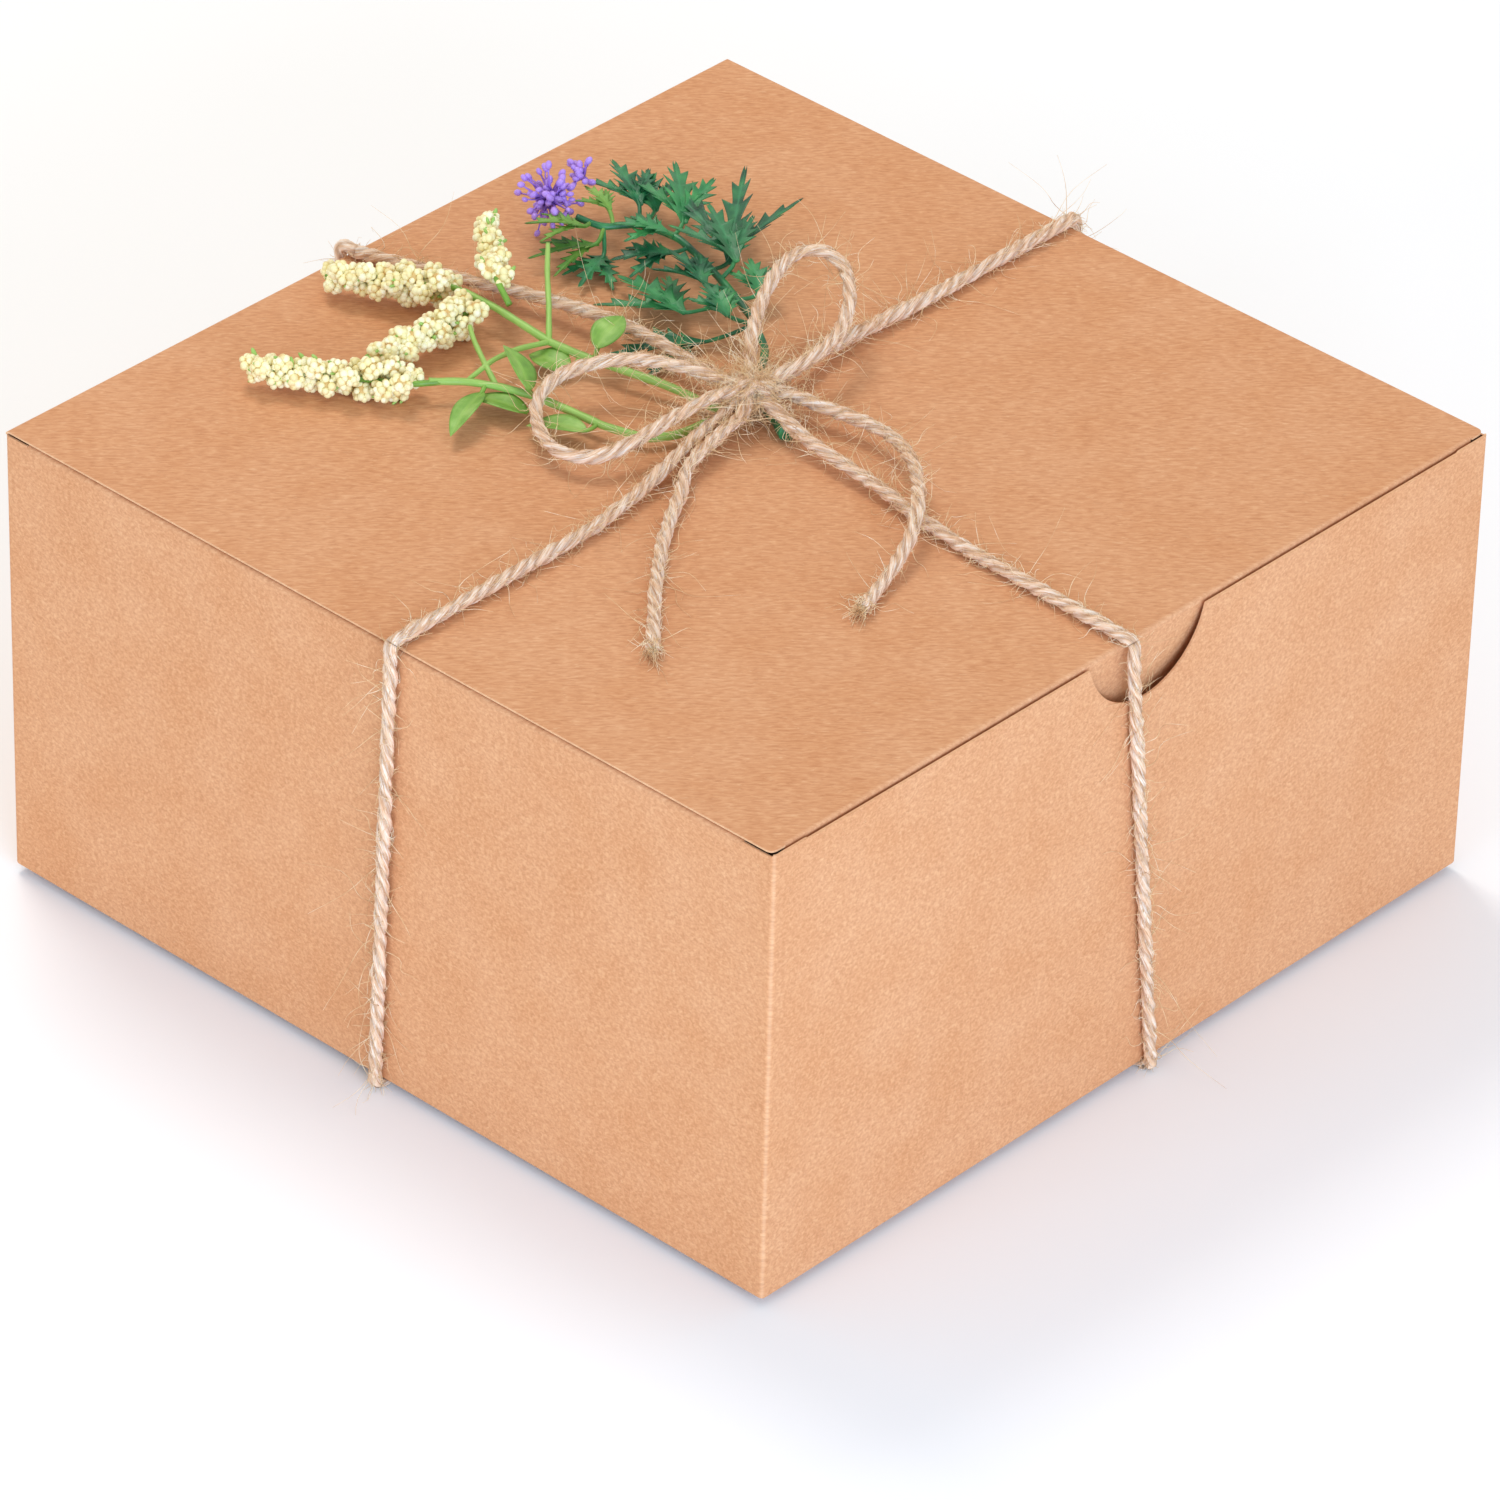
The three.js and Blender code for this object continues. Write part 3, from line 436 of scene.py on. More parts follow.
def under(name, start, end, outward, far_outward, seed):
    """Pressed twine between two places; an end with an outward direction turns up a wall."""
    run = [np.array([*start, PRESSED + 0.2]), np.array([*end, PRESSED + 0.2])]
    if outward is not None:
        rise = np.array([*start, 0.0]) + outward * REST
        run[:1] = [rise + 4.4 * UP, rise + 2.2 * UP, rise + UP - 0.6 * outward, run[0] - outward]
    if far_outward is not None:
        rise = np.array([*end, 0.0]) + far_outward * REST
        turned_up = [rise + UP - 0.6 * far_outward, rise + 2.2 * UP, rise + 4.4 * UP]
        run[-1:] = [run[-1] - far_outward, *turned_up]
    route = eased(run, RING, 3)
    facing = np.array([0.6, 0.6, 1.0]) if outward is None else UP + 0.9 * outward
    made = twine(name, route, facing, "root", name.replace("_below_", "_under_"), seed, 1.3, pressed)


CROSSING = 2.2  # the runs from the front and the rear stop this far from the one that crosses
share_at = (UNDER_AT + half) / (2 * half)
cross_x = FRONT_FOOT + (REAR_FOOT - FRONT_FOOT) * share_at
under("twine_below_across", [-half, UNDER_AT], [half, UNDER_AT], LEFT, RIGHT, 53)
under("twine_below_front", [FRONT_FOOT, -half], [cross_x, UNDER_AT - CROSSING], FRONT, None, 59)
under("twine_below_rear", [REAR_FOOT, half], [cross_x, UNDER_AT + CROSSING], REAR, None, 61)


# ---- Bow ----
# The ends of the twine make a bow with two loops and two loose tails, over a wound knot.
# It is one length of the same jute, tied by hand, so each loop stands up in its own curve.
LEFT_LOOP = [[-0.6, 9.2, 2.4], [-2.9, 13, 2.9], [-5.5, 18.7, 3.0], [-8.6, 25.2, 2.7]]
LEFT_LOOP += [[-13.1, 29.7, 2.3], [-18.9, 31.6, 2.2], [-23.9, 31.7, 1.9], [-29, 29.6, 1.5]]
LEFT_LOOP += [[-33.3, 25, 1.2], [-35.8, 19.7, 0.9], [-36, 14.9, 0.8], [-33.8, 10.6, 0.9]]
LEFT_LOOP += [[-29.4, 8, 1.1], [-23.7, 6.8, 1.5], [-16.8, 6.2, 1.9], [-10, 5.4, 2.2], [-3.2, 4.6, 2.3]]
UPPER_LOOP = [[8.6, 8.2, 2.5], [11.5, 10.6, 2.8], [15, 13.4, 3.1], [19.5, 16.2, 3.7], [25.3, 19, 4.4]]
UPPER_LOOP += [[32, 21.4, 4.8], [37.6, 21.2, 5.1], [40.6, 18, 5.1], [40.4, 13, 4.8], [37.2, 8.2, 4.4]]
UPPER_LOOP += [[33.4, 4.6, 3.8], [28.4, 1.8, 3.2], [23, 0.4, 2.8], [17, 0, 2.6], [11, 0.6, 2.5]]
LEFT_TAIL = [[x, y - TWINE - 0.6, lift] for x, y, lift in LEFT_STRAND[:3]]
LEFT_TAIL += [[-27, -7.6, 0.1], [-34.6, -12, 0], [-43.2, -17.8, 0], [-51.3, -24.2, 0]]
LEFT_TAIL += [[-59.1, -30.9, 0], [-66.4, -37.6, 0], [-70.2, -41, 0]]
RIGHT_TAIL = [[9.8, -1.6, 1.3], [11, -7, 1], [12.8, -13.6, 0.9], [13.4, -21, 1], [11.6, -29.3, 1.2]]
RIGHT_TAIL += [[6.9, -37, 1.4], [0.8, -43.6, 1.5], [-4.9, -48.4, 1.4], [-10.8, -52, 0.9]]
RIGHT_TAIL += [[-17.5, -54.6, 0.4], [-25.2, -57, 0], [-32, -59.2, 0]]
frayed = []  # the routes and seeds of the cut ends
for name, hand_points, far_end, seed in (
    ("loop_left", LEFT_LOOP, "object", 67),
    ("loop_upper", UPPER_LOOP, "object", 71),
    ("tail_left", LEFT_TAIL, "bare", 73),
    ("tail_right", RIGHT_TAIL, "bare", 79),
):
    route = eased(from_knot(hand_points, far_end == "object"), RING, 9)
    strand = twine(name, route, UP, "decoration", "bow_" + name, seed, 1.42)
    if far_end == "bare":
        frayed.append((route, seed))

# The knot is twine wound over itself: each turn is an oval that leans a little more than the last.
WINDS = 4.6
KNOT_OUT, KNOT_ACROSS, KNOT_UP = 3.5, 0.9, 2.2  # how far the turns reach from the knot's middle
turns = np.linspace(0, 2 * np.pi * WINDS, 220)
lean = 0.75 * turns / 2 + 0.3
out, across = KNOT_OUT * np.cos(turns), KNOT_ACROSS * np.sin(1.7 * turns)
knot_x = out * np.cos(lean) - across * np.sin(lean)
knot_y = out * np.sin(lean) + across * np.cos(lean)
knot_route = knot_middle + np.stack([knot_x, knot_y, KNOT_UP * np.sin(turns)], axis=1)
AWRY = np.array([0.13, 0.21, 1.0])  # a direction that no turn of the knot runs along
twine("knot", even(knot_route, RING), AWRY, "decoration", "twine_knot", 83, 1.2)


# ---- Loose fibres of the twine ----
# Jute is hairy: short fibres stand off all along it, long ones curl away near the knot and the ends.
def whiskers(roots, ways, lengths, width, seed, stations=7):
    """Thin three-sided fibres, one for each root.

    Point at share t = root + way * length * t + sideways curl * length * t squared, and the fibre's
    width falls to a third at its tip.
    """
    random = np.random.default_rng(seed)
    count, around = len(roots), 3
    t = np.linspace(0, 1, stations)[None, :, None]
    curl = unit(random.normal(size=(count, 3)))[:, None] * random.uniform(0.15, 1.0, (count, 1, 1))
    twirl = unit(random.normal(size=(count, 3)))[:, None] * random.uniform(0.0, 0.16, (count, 1, 1))
    size = lengths[:, None, None]
    lines = roots[:, None] + ways[:, None] * size * t + curl * size * t**2
    lines = lines + twirl * size * np.sin(7 * t)
    way = unit(np.gradient(lines, axis=1))
    side = unit(np.cross(way, unit(random.normal(size=(count, 1, 3)))))
    over = np.cross(way, side)
    radius = width * (1 - 0.66 * t)[..., None]
    points = (lines[:, :, None] + radius * spokes(circle(around), side, over)).reshape(-1, 3)
    ring, place = band(stations, around)
    start = np.arange(count)[:, None] * stations * around
    quads = start[..., None] + ring * around + place % around
    roots_cap = start + np.array([0, 2, 1])
    tips_cap = start + (stations - 1) * around + np.array([0, 1, 2])
    return points, [quads.reshape(-1, 4), roots_cap, tips_cap]


STANDS_OFF = 17.0  # no fibre stands further off the walls than this
OFF_WALL, OFF_LID, OFF_FLOOR = 0.3, 0.25, 0.15  # how close the middle of a fibre comes to them
BELOW_CREASE = 2.0


def off_the_box(points, body):
    """Moves each ring of a fibre that would dip into the lid or a wall back out, as if it lay there.

    Fibres of the decoration stay above the lid's plane, clear of the tuck flap as it unfolds, and
    those behind the rear wall stay below the crease, clear of the lid as it opens.
    """
    rings = points.reshape(-1, 3, 3)
    middle = rings.mean(axis=1)
    held = middle.copy()
    held[:, :2] = np.clip(held[:, :2], -half - STANDS_OFF, half + STANDS_OFF)
    if body == "root":
        behind = held[:, 1] > half - 2
        held[behind, 2] = np.minimum(held[behind, 2], lid_top - BELOW_CREASE)
    over_top = lid_top + OFF_LID
    depths = np.column_stack([half + OFF_WALL - np.abs(held[:, :2]), over_top - held[:, 2]])
    dips = (depths.min(axis=1) > 0) & (held[:, 2] > FOOT_HEIGHT)
    nearest = np.argmin(depths, axis=1)
    for axis in (0, 1, 2):
        moved = dips & (nearest == axis)
        push = depths[moved, axis]
        held[moved, axis] += push * (np.sign(held[moved, axis]) if axis < 2 else 1)
    held[:, 2] = np.maximum(held[:, 2], over_top if body == "decoration" else OFF_FLOOR)
    return (rings + (held - middle)[:, None]).reshape(-1, 3)


def fibre_material():
    """Single jute fibres: pale and slightly shiny."""
    material, tree, shader, where = new_material("jute_fibre", 0.6, Specular_IOR_Level=0.3)
    tone = noise(tree, where, 300.0, 1.0)
    colours = [(0.3, shade("cfa070")), (0.5, shade("efcb98")), (0.7, shade("fdeac8"))]
    tree.links.new(ramp(tree, tone, colours), shader.inputs["Base Color"])
    return material


jute_fibre = fibre_material()
KINDS = (  # name, number for each millimetre, shortest, longest, slant, thickness and bends
    ("fluff", 4.2, 1.0, 3.0, 3.2, 0.07, 4),
    ("hairs", 1.6, 2.5, 11.5, 1.5, 0.075, 8),
)
KNOT_REACH = 16.0  # the twine gets hairier within about this distance of the knot
for body in ("decoration", "root"):
    for word, per_mm, low, high, slant, width, bends in KINDS:
        found = [[], [], []]
        for route, rides_on, seed in strands:
            if rides_on != body:
                continue
            random = np.random.default_rng(seed + bends)
            way = unit(np.gradient(route, axis=0))
            near_knot = np.exp(-np.linalg.norm(route - knot_middle, axis=1) / KNOT_REACH)
            weight = 0.45 + 0.9 * near_knot
            count = int(per_mm * run_of(route)[-1] * np.mean(weight) / 0.5)
            at = random.choice(len(route), count, p=weight / weight.sum())
            out = unit(np.cross(way[at], random.normal(size=(count, 3))))
            sense = random.choice([-1.0, 1.0], (count, 1)) * random.uniform(0.3, slant, (count, 1))
            length = low + (high - low) * random.uniform(0, 1, count) ** 2
            free = (route[at, 2] > 3) | (np.abs(route[at, :2]).max(axis=1) > half + 0.5)
            found[0].append((route[at] + 1.1 * out)[free])  # none grow under the box
            found[1].append(unit(out + way[at] * sense)[free])
            found[2].append(length[free])
        points, faces = whiskers(*(np.concatenate(part) for part in found), width, 7, bends + 2)
        made = piece("twine_" + word + "_" + body, off_the_box(points, body), faces, jute_fibre)
        fasten(made, body, "jute_twine")

# The cut ends of the tails open into small brushes.
PER_BRUSH = 130
found = [[], [], []]
for route, seed in frayed:
    random = np.random.default_rng(seed + 200)
    way = unit(route[-1] - route[-6])
    spread = random.normal(0, 0.26, (PER_BRUSH, 3))
    roots = route[-1] - way * random.uniform(0, 3, (PER_BRUSH, 1))
    found[0].append(roots + random.normal(0, 0.55, (PER_BRUSH, 3)))
    found[1].append(unit(way + spread))
    found[2].append(random.uniform(1.6, 4.6, PER_BRUSH))
points, faces = whiskers(*(np.concatenate(part) for part in found), 0.11, 9)
brushes = piece("twine_brushes", off_the_box(points, "decoration"), faces, jute_fibre)
fasten(brushes, "decoration", "jute_twine")


# ---- Carton walls ----
# One sheet of kraft board, 0.6 mm thick, creased at the corners and closed by a glued flap at the
# rear right. The front wall has a round thumb notch in its top edge.
BOARD = 0.6
WALL_BOARD = 0.45  # the cut edges of the walls are pressed a little thinner
CORNER = 1.0  # outer radius of the vertical creases
LIP = 0.55  # radius of the fold along the bottom
FOLD = 0.9  # outer radius of the folds along the top
CLOSE = 0.3  # extra grid lines lie this close to a fold, to keep the flat board beside it flat
EDGE = 0.12  # and this close to a cut edge
wall_bottom, wall_top = (corner.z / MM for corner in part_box("front_wall"))
fold_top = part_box("rear_wall")[1].z / MM
NOTCH_AT, NOTCH_HALF, NOTCH_DEPTH = 1.5, 16.5, 13.5
SHOULDER, RIM_DROP = 9.0, 0.3  # the front wall is a little lower between its two shoulders
DUST_FRONT, DUST_REAR = -93.6, 95.6  # Y where the dust flaps' creases begin and end
GLUE_FROM, GLUE_TO, GLUE_TAPER = 100.6, 82.7, 8.0


def sheet(outer, inner):
    """A closed sheet between two grids: points, faces, and which faces are the cut rim."""
    rows, columns = outer.shape[:2]
    row, column = band(rows, columns - 1)
    face = row * columns + column
    inside = rows * columns
    rim = np.concatenate([
        np.arange(columns - 1),
        np.arange(rows - 1) * columns + columns - 1,
        (rows - 1) * columns + np.arange(columns - 1, 0, -1),
        np.arange(rows - 1, 0, -1) * columns,
    ])
    after = np.roll(rim, -1)
    edge = np.stack([after, rim, rim + inside, after + inside], -1)
    numbers = outer.shape[2]
    points = np.vstack([outer.reshape(-1, numbers), inner.reshape(-1, numbers)])
    cut = np.concatenate([np.zeros(2 * len(face), bool), np.ones(len(edge), bool)])
    return points, [face, face[:, ::-1] + inside, edge], cut


def new_group(name, inputs, outputs):
    """A node group that takes vectors and puts out numbers: itself, and what comes in."""
    group = bpy.data.node_groups.new(name, "ShaderNodeTree")
    for word in inputs:
        group.interface.new_socket(word, in_out="INPUT", socket_type="NodeSocketVector")
    for word in outputs:
        group.interface.new_socket(word, in_out="OUTPUT", socket_type="NodeSocketFloat")
    return group, put(group, "NodeGroupInput").outputs


def fibre_group():
    """Paper fibres as a group: cloudy mottling, fine streaks and single flecks, from 0 to 1."""
    group, given = new_group("paper_fibres", ["Place"], ["Clouds", "Streaks", "Flecks"])
    place = given["Place"]
    across = (0, 0, np.radians(-45))
    results = {
        "Clouds": noise(group, place, 62.0, 5.0),
        "Streaks": noise(group, place, 1.0, 6.0, (420, 1700, 1700), across, 0.6),
        "Flecks": noise(group, place, 1.0, 2.0, (600, 2600, 2600), across, 0.8),
    }
    put(group, "NodeGroupOutput", results)
    return group


paper_fibres = fibre_group()


def kraft_material():
    """Unbleached kraft board: warm brown, mottled by its fibres, paler along its cut edges, and lighter
    along its creases from wear and a painted highlight.
    """
    material, tree, shader, where = new_material("kraft_board", 0.7, Specular_IOR_Level=0.4)
    paper = put(tree, "ShaderNodeGroup", node_tree=paper_fibres)
    tree.links.new(where, paper.inputs["Place"])
    clouds, streaks, flecks = (paper.outputs[name] for name in ("Clouds", "Streaks", "Flecks"))
    tone = ramp(tree, streaks, [(0.3, shade("c98b5e")), (0.5, shade("d6996b")), (0.7, shade("e1a97b"))])
    shift = ramp(tree, clouds, [(0.32, shade("f9f2e9")), (0.66, shade("ffffff"))])
    warm = blended(tree, 1.0, tone, shift, "MULTIPLY")
    light = ramp(tree, flecks, [(0.62, (0, 0, 0, 1)), (0.72, (1, 1, 1, 1))])
    dark = ramp(tree, flecks, [(0.28, (1, 1, 1, 1)), (0.38, (0, 0, 0, 1))])
    flecked = blended(tree, part_of(tree, light, 0.25), warm, shade("f6cfa2"))
    flecked = blended(tree, part_of(tree, dark, 0.2), flecked, shade("a9693a"))
    # Lighter along the creases: partly rubbed paper, partly a painted highlight on the folds.
    worn_and_highlit = blended(tree, part_of(tree, number(tree, "crease"), 0.12), flecked, shade("f8dcb8"))
    edged = blended(tree, part_of(tree, number(tree, "cut"), 0.25), worn_and_highlit, shade("f3cfa3"))
    tree.links.new(edged, shader.inputs["Base Color"])
    bump(tree, shader, streaks, 0.16, 0.0001)
    return material


kraft = kraft_material()


def edged_grid(grid):
    """The grid with one more line beside each of its four border lines, EDGE away from it."""
    for axis in (0, 1):
        lines = np.moveaxis(grid, axis, 0)
        beside = []
        for border, following in ((lines[0], lines[1]), (lines[-1], lines[-2])):
            step = following - border
            far = np.linalg.norm(step[:, :3], axis=1, keepdims=True)
            beside.append(border + step * np.minimum(EDGE / np.maximum(far, 1e-9), 0.4))
        lines = np.concatenate([lines[:1], beside[:1], lines[1:-1], beside[1:], lines[-1:]])
        grid = np.moveaxis(lines, 0, axis)
    return grid


def board(name, outer, inner, crease, nodes):
    """A board piece from its outer and inner grids; crease is 1 along the folds."""
    outer, inner = (edged_grid(np.dstack([grid, crease])) for grid in (outer, inner))
    points, faces, cut = sheet(outer, inner)
    made = piece(name, points[:, :3], faces, kraft, None, {"crease": points[:, 3]}, cut)
    kept = made.data.attributes.new("cut", "FLOAT", "FACE")
    kept.data.foreach_set("value", cut.astype(np.float32))
    fasten(made, None, "kraft_board", *nodes)
    return made


def corner(cx, cy, first, last):
    """Stations round a vertical crease: x, y and the outward direction, between two angles."""
    angles = np.radians(np.linspace(first, last, 7))
    out = np.stack([np.cos(angles), np.sin(angles)], 1)
    return np.hstack([np.array([cx, cy]) + CORNER * out, out])


def straight(start, end, out, marks=()):
    """Stations along a flat wall, with extra ones close to its ends and at the marked places."""
    close = CLOSE / np.linalg.norm(np.subtract(end, start))
    shares = np.array([0.0, close, *marks, 1.0 - close, 1.0])[:, None]
    line = np.array(start) * (1 - shares) + np.array(end) * shares
    return np.hstack([line, np.broadcast_to(out, line.shape)])


turn_in = half - CORNER
side_marks = [(y + turn_in) / (2 * turn_in) for y in (DUST_FRONT, DUST_REAR)]
side_marks = [m + d for m in side_marks for d in (-0.0002, 0.0002)]
notch_radius = (NOTCH_HALF**2 + NOTCH_DEPTH**2) / (2 * NOTCH_DEPTH)
notch_reach = np.arcsin(NOTCH_HALF / notch_radius)
notch_x = NOTCH_AT + notch_radius * np.sin(np.linspace(-notch_reach, notch_reach, 49))
notch_x = np.concatenate([notch_x[0] - [4, 2, 1, 0.6, 0.3], notch_x, notch_x[-1] + [0.3, 0.6, 1, 2, 4]])
shoulder_x = half - SHOULDER + np.array([-0.3, 0.3])
front_x = np.concatenate([-shoulder_x[::-1], notch_x, shoulder_x])
front_marks = (front_x + turn_in) / (2 * turn_in)
stations = np.vstack([
    straight([half, half], [-turn_in, half], [0, 1]),
    corner(-turn_in, turn_in, 90, 180),
    straight([-half, turn_in], [-half, -turn_in], [-1, 0], [1 - m for m in side_marks[::-1]]),
    corner(-turn_in, -turn_in, 180, 270),
    straight([-turn_in, -half], [turn_in, -half], [0, -1], front_marks),
    corner(turn_in, -turn_in, 270, 360),
    straight([half, -turn_in], [half, turn_in - FOLD], [1, 0], side_marks),
    corner(turn_in, turn_in - FOLD, 0, 90),
    straight([GLUE_FROM, half - FOLD], [GLUE_TO, half - FOLD], [0, 1]),
])
new_place = np.linalg.norm(np.diff(stations[:, :2], axis=0), axis=1) > 1e-6
stations = stations[np.append(True, new_place)]
at, out = stations[:, :2], stations[:, 2:]
on_side = np.abs(np.abs(at[:, 0]) - half) < 0.4
on_front = at[:, 1] < -turn_in - 0.45
in_dust = on_side & (at[:, 1] > DUST_FRONT - 0.01) & (at[:, 1] < DUST_REAR + 0.01)
in_glue = np.arange(len(at)) > len(at) - 4
top = np.where(on_front, wall_top, np.where(in_dust, fold_top - FOLD, fold_top))
reach = np.clip(np.abs(at[:, 0] - NOTCH_AT) / notch_radius, 0, 0.99999)
arc = wall_top - NOTCH_DEPTH + notch_radius * (1 - np.sqrt(1 - reach**2))
past = np.abs(at[:, 0] - NOTCH_AT) - NOTCH_HALF
arc = np.where(past > 0, arc + 3 * past, arc)
SOFT = 0.2  # rounds the notch's two upper corners
rim = wall_top - RIM_DROP * np.clip((half - SHOULDER + 0.3 - np.abs(at[:, 0])) / 0.6, 0, 1)
top = np.where(on_front, -SOFT * np.logaddexp(-arc / SOFT, -rim / SOFT), top)
taper = GLUE_TAPER * (1 + (GLUE_FROM - at[:, 0]) / (GLUE_FROM - GLUE_TO))
top = np.where(in_glue, fold_top - taper, top)
bottom = np.where(in_glue, wall_bottom + taper, wall_bottom)
lip = np.radians(np.linspace(0, 90, 6))
inset = np.concatenate([LIP * (1 - np.sin(lip)), [0.0, 0.0]])[:, None]
rise = np.concatenate([LIP * (1 - np.cos(lip)), [LIP + CLOSE, 0.0]])[:, None]
height = np.vstack([bottom + rise[:-1], top[None]])
outer = np.concatenate([at - inset[..., None] * out, height[..., None]], -1)
flat_in = np.broadcast_to(at - WALL_BOARD * out, outer[..., :2].shape)
inner = np.concatenate([flat_in, height[..., None]], -1)
in_corner = np.clip(3.2 * np.minimum(np.abs(out[:, 0]), np.abs(out[:, 1])) - 1.0, 0, 1)
crease = np.broadcast_to(in_corner, height.shape).copy()
crease[:4] = 0.3
walls = board("carton_walls", outer, inner, crease,
              ["front_wall", "rear_wall", "left_wall", "right_wall", "glue_flap"])
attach(walls, "root")


# ---- Lid, tuck flap and dust flaps ----
# The lid folds out of the rear wall. Its front edge folds down into the tuck flap, which slides in
# behind the front wall, and two dust flaps fold in from the side walls under it.
LID_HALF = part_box("lid_panel")[1].x / MM + 0.15
LID_CORNER = 1.5
LID_BOARD = 0.42
lid_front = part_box("lid_panel")[0].y / MM
fold_front = lid_front + 0.25  # the fold over the tuck flap stands back from the front wall
TUCK_HALF, TUCK_DEPTH, TUCK_LEAN, TUCK_CORNER = 97.7, 22.0, 8.0, 12.0
FRONT_FOLD = 0.7  # outer radius of the fold between the lid and the tuck flap
DUST_END, DUST_END_FRONT, DUST_END_REAR = 40.7, -77.6, 35.6  # X and Y of their free ends

x = np.concatenate([[-LID_HALF], -LID_HALF + LID_CORNER * (1 - np.cos(np.radians([20, 40, 60, 90]))),
                    [-TUCK_HALF - 0.02, -TUCK_HALF + 0.02], np.linspace(-80, 0, 5)])
x = np.concatenate([x, -x[-2::-1]])
beyond = np.clip(np.abs(x) - (LID_HALF - LID_CORNER), 0, LID_CORNER)
edge = lid_front + LID_CORNER - np.sqrt(np.maximum(LID_CORNER**2 - beyond**2, 0))
edge = np.where(np.abs(x) < TUCK_HALF, fold_front + FRONT_FOLD, edge)
near_fold = CLOSE / (2 * half)
shares = np.concatenate([[0.0], np.linspace(near_fold, 1 - near_fold, 9), [1.0]])[:, None]
crease_at = half - FOLD
y = edge * (1 - shares) + crease_at * shares
fold = np.radians(np.linspace(0, 90, 9))[1:, None]


def lid_grid(depth):
    """The lid at a depth below its outer face: flat to the crease, then a quarter turn down."""
    flat = np.stack([np.broadcast_to(x, y.shape), y, np.full(y.shape, lid_top - depth)], -1)
    bent_y = crease_at + (FOLD - depth) * np.sin(fold) + 0 * x
    bent_z = lid_top - FOLD + (FOLD - depth) * np.cos(fold) + 0 * x
    return np.concatenate([flat, np.stack([np.broadcast_to(x, bent_y.shape), bent_y, bent_z], -1)])


crease = np.concatenate([np.zeros(y.shape), np.full((len(fold), len(x)), 0.5)])
lid = board("lid_sheet", lid_grid(0), lid_grid(LID_BOARD), crease, ["lid_panel"])
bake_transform(lid)

round_off = 1 - np.sin(np.radians(np.linspace(0, 90, 7)))[::-1]
x = np.concatenate([TUCK_HALF - TUCK_CORNER * round_off, np.linspace(70, 0, 5)])
x = np.concatenate([np.sort(x)[::-1], -np.sort(x)[1:]])
over = np.clip(np.abs(x) - (TUCK_HALF - TUCK_CORNER), 0, TUCK_CORNER)
depth_at = TUCK_DEPTH - TUCK_CORNER + np.sqrt(np.maximum(TUCK_CORNER**2 - over**2, 0))
bend = np.radians(np.linspace(0, 90 + TUCK_LEAN, 11))[:, None]
lean = np.radians(90 + TUCK_LEAN)


def tuck_grid(depth):
    """The tuck flap at a depth below its outer face: a fold of 98 degrees, then straight down."""
    radius = FRONT_FOLD - depth
    fold_y = fold_front + FRONT_FOLD - radius * np.sin(bend) + 0 * x
    fold_z = lid_top - FRONT_FOLD + radius * np.cos(bend) + 0 * x
    rows = np.array([0.015, 0.5, 1.0])[:, None] * depth_at
    flat_y = fold_y[-1] - np.cos(lean) * rows
    flat_z = fold_z[-1] - np.sin(lean) * rows
    y, z = np.vstack([fold_y, flat_y]), np.vstack([fold_z, flat_z])
    return np.stack([np.broadcast_to(x, y.shape), y, z], -1)


crease = np.concatenate([np.full((len(bend), len(x)), 0.35), np.zeros((3, len(x)))])
tuck = board("tuck_sheet", tuck_grid(0), tuck_grid(BOARD), crease, ["tuck_flap"])
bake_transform(tuck)


def dust_grid(side, depth):
    """A dust flap at a depth below its outer face: a quarter fold off the side wall, then flat."""
    turn = np.radians(np.linspace(0, 90, 9))
    radius = FOLD - depth
    fold_x = half - FOLD + radius * np.cos(turn)
    fold_z = fold_top - FOLD + radius * np.sin(turn)
    across = np.concatenate([fold_x, np.linspace(half - FOLD - CLOSE, DUST_END, 4)])
    z = np.concatenate([fold_z, np.full(4, fold_top - depth)])
    share = np.clip((half - FOLD - across) / (half - FOLD - DUST_END), 0, 1)
    near = DUST_FRONT + (DUST_END_FRONT - DUST_FRONT) * share
    far = DUST_REAR + (DUST_END_REAR - DUST_REAR) * share
    place = np.linspace(0, 1, 9)[None]
    if side > 0:
        place = place[:, ::-1]
    y = far[:, None] * (1 - place) + near[:, None] * place
    return np.stack([side * across[:, None] + 0 * y, y, z[:, None] + 0 * y], -1)


for side, word in ((-1, "left"), (1, "right")):
    outer, inner = dust_grid(side, 0), dust_grid(side, BOARD)
    crease = np.zeros(outer.shape[:2])
    crease[:9] = 0.2
    flap = board("dust_sheet_" + word, outer, inner, crease, ["dust_flap_" + word])
    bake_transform(flap)

# The four flaps of the bottom lock into each other: they keep their shape, in the board's finish.
for word in ("tongue_flap", "side_flap_left", "side_flap_right", "main_flap"):
    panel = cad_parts["bottom_" + word]
    panel.data.materials.clear()
    panel.data.materials.append(kraft)


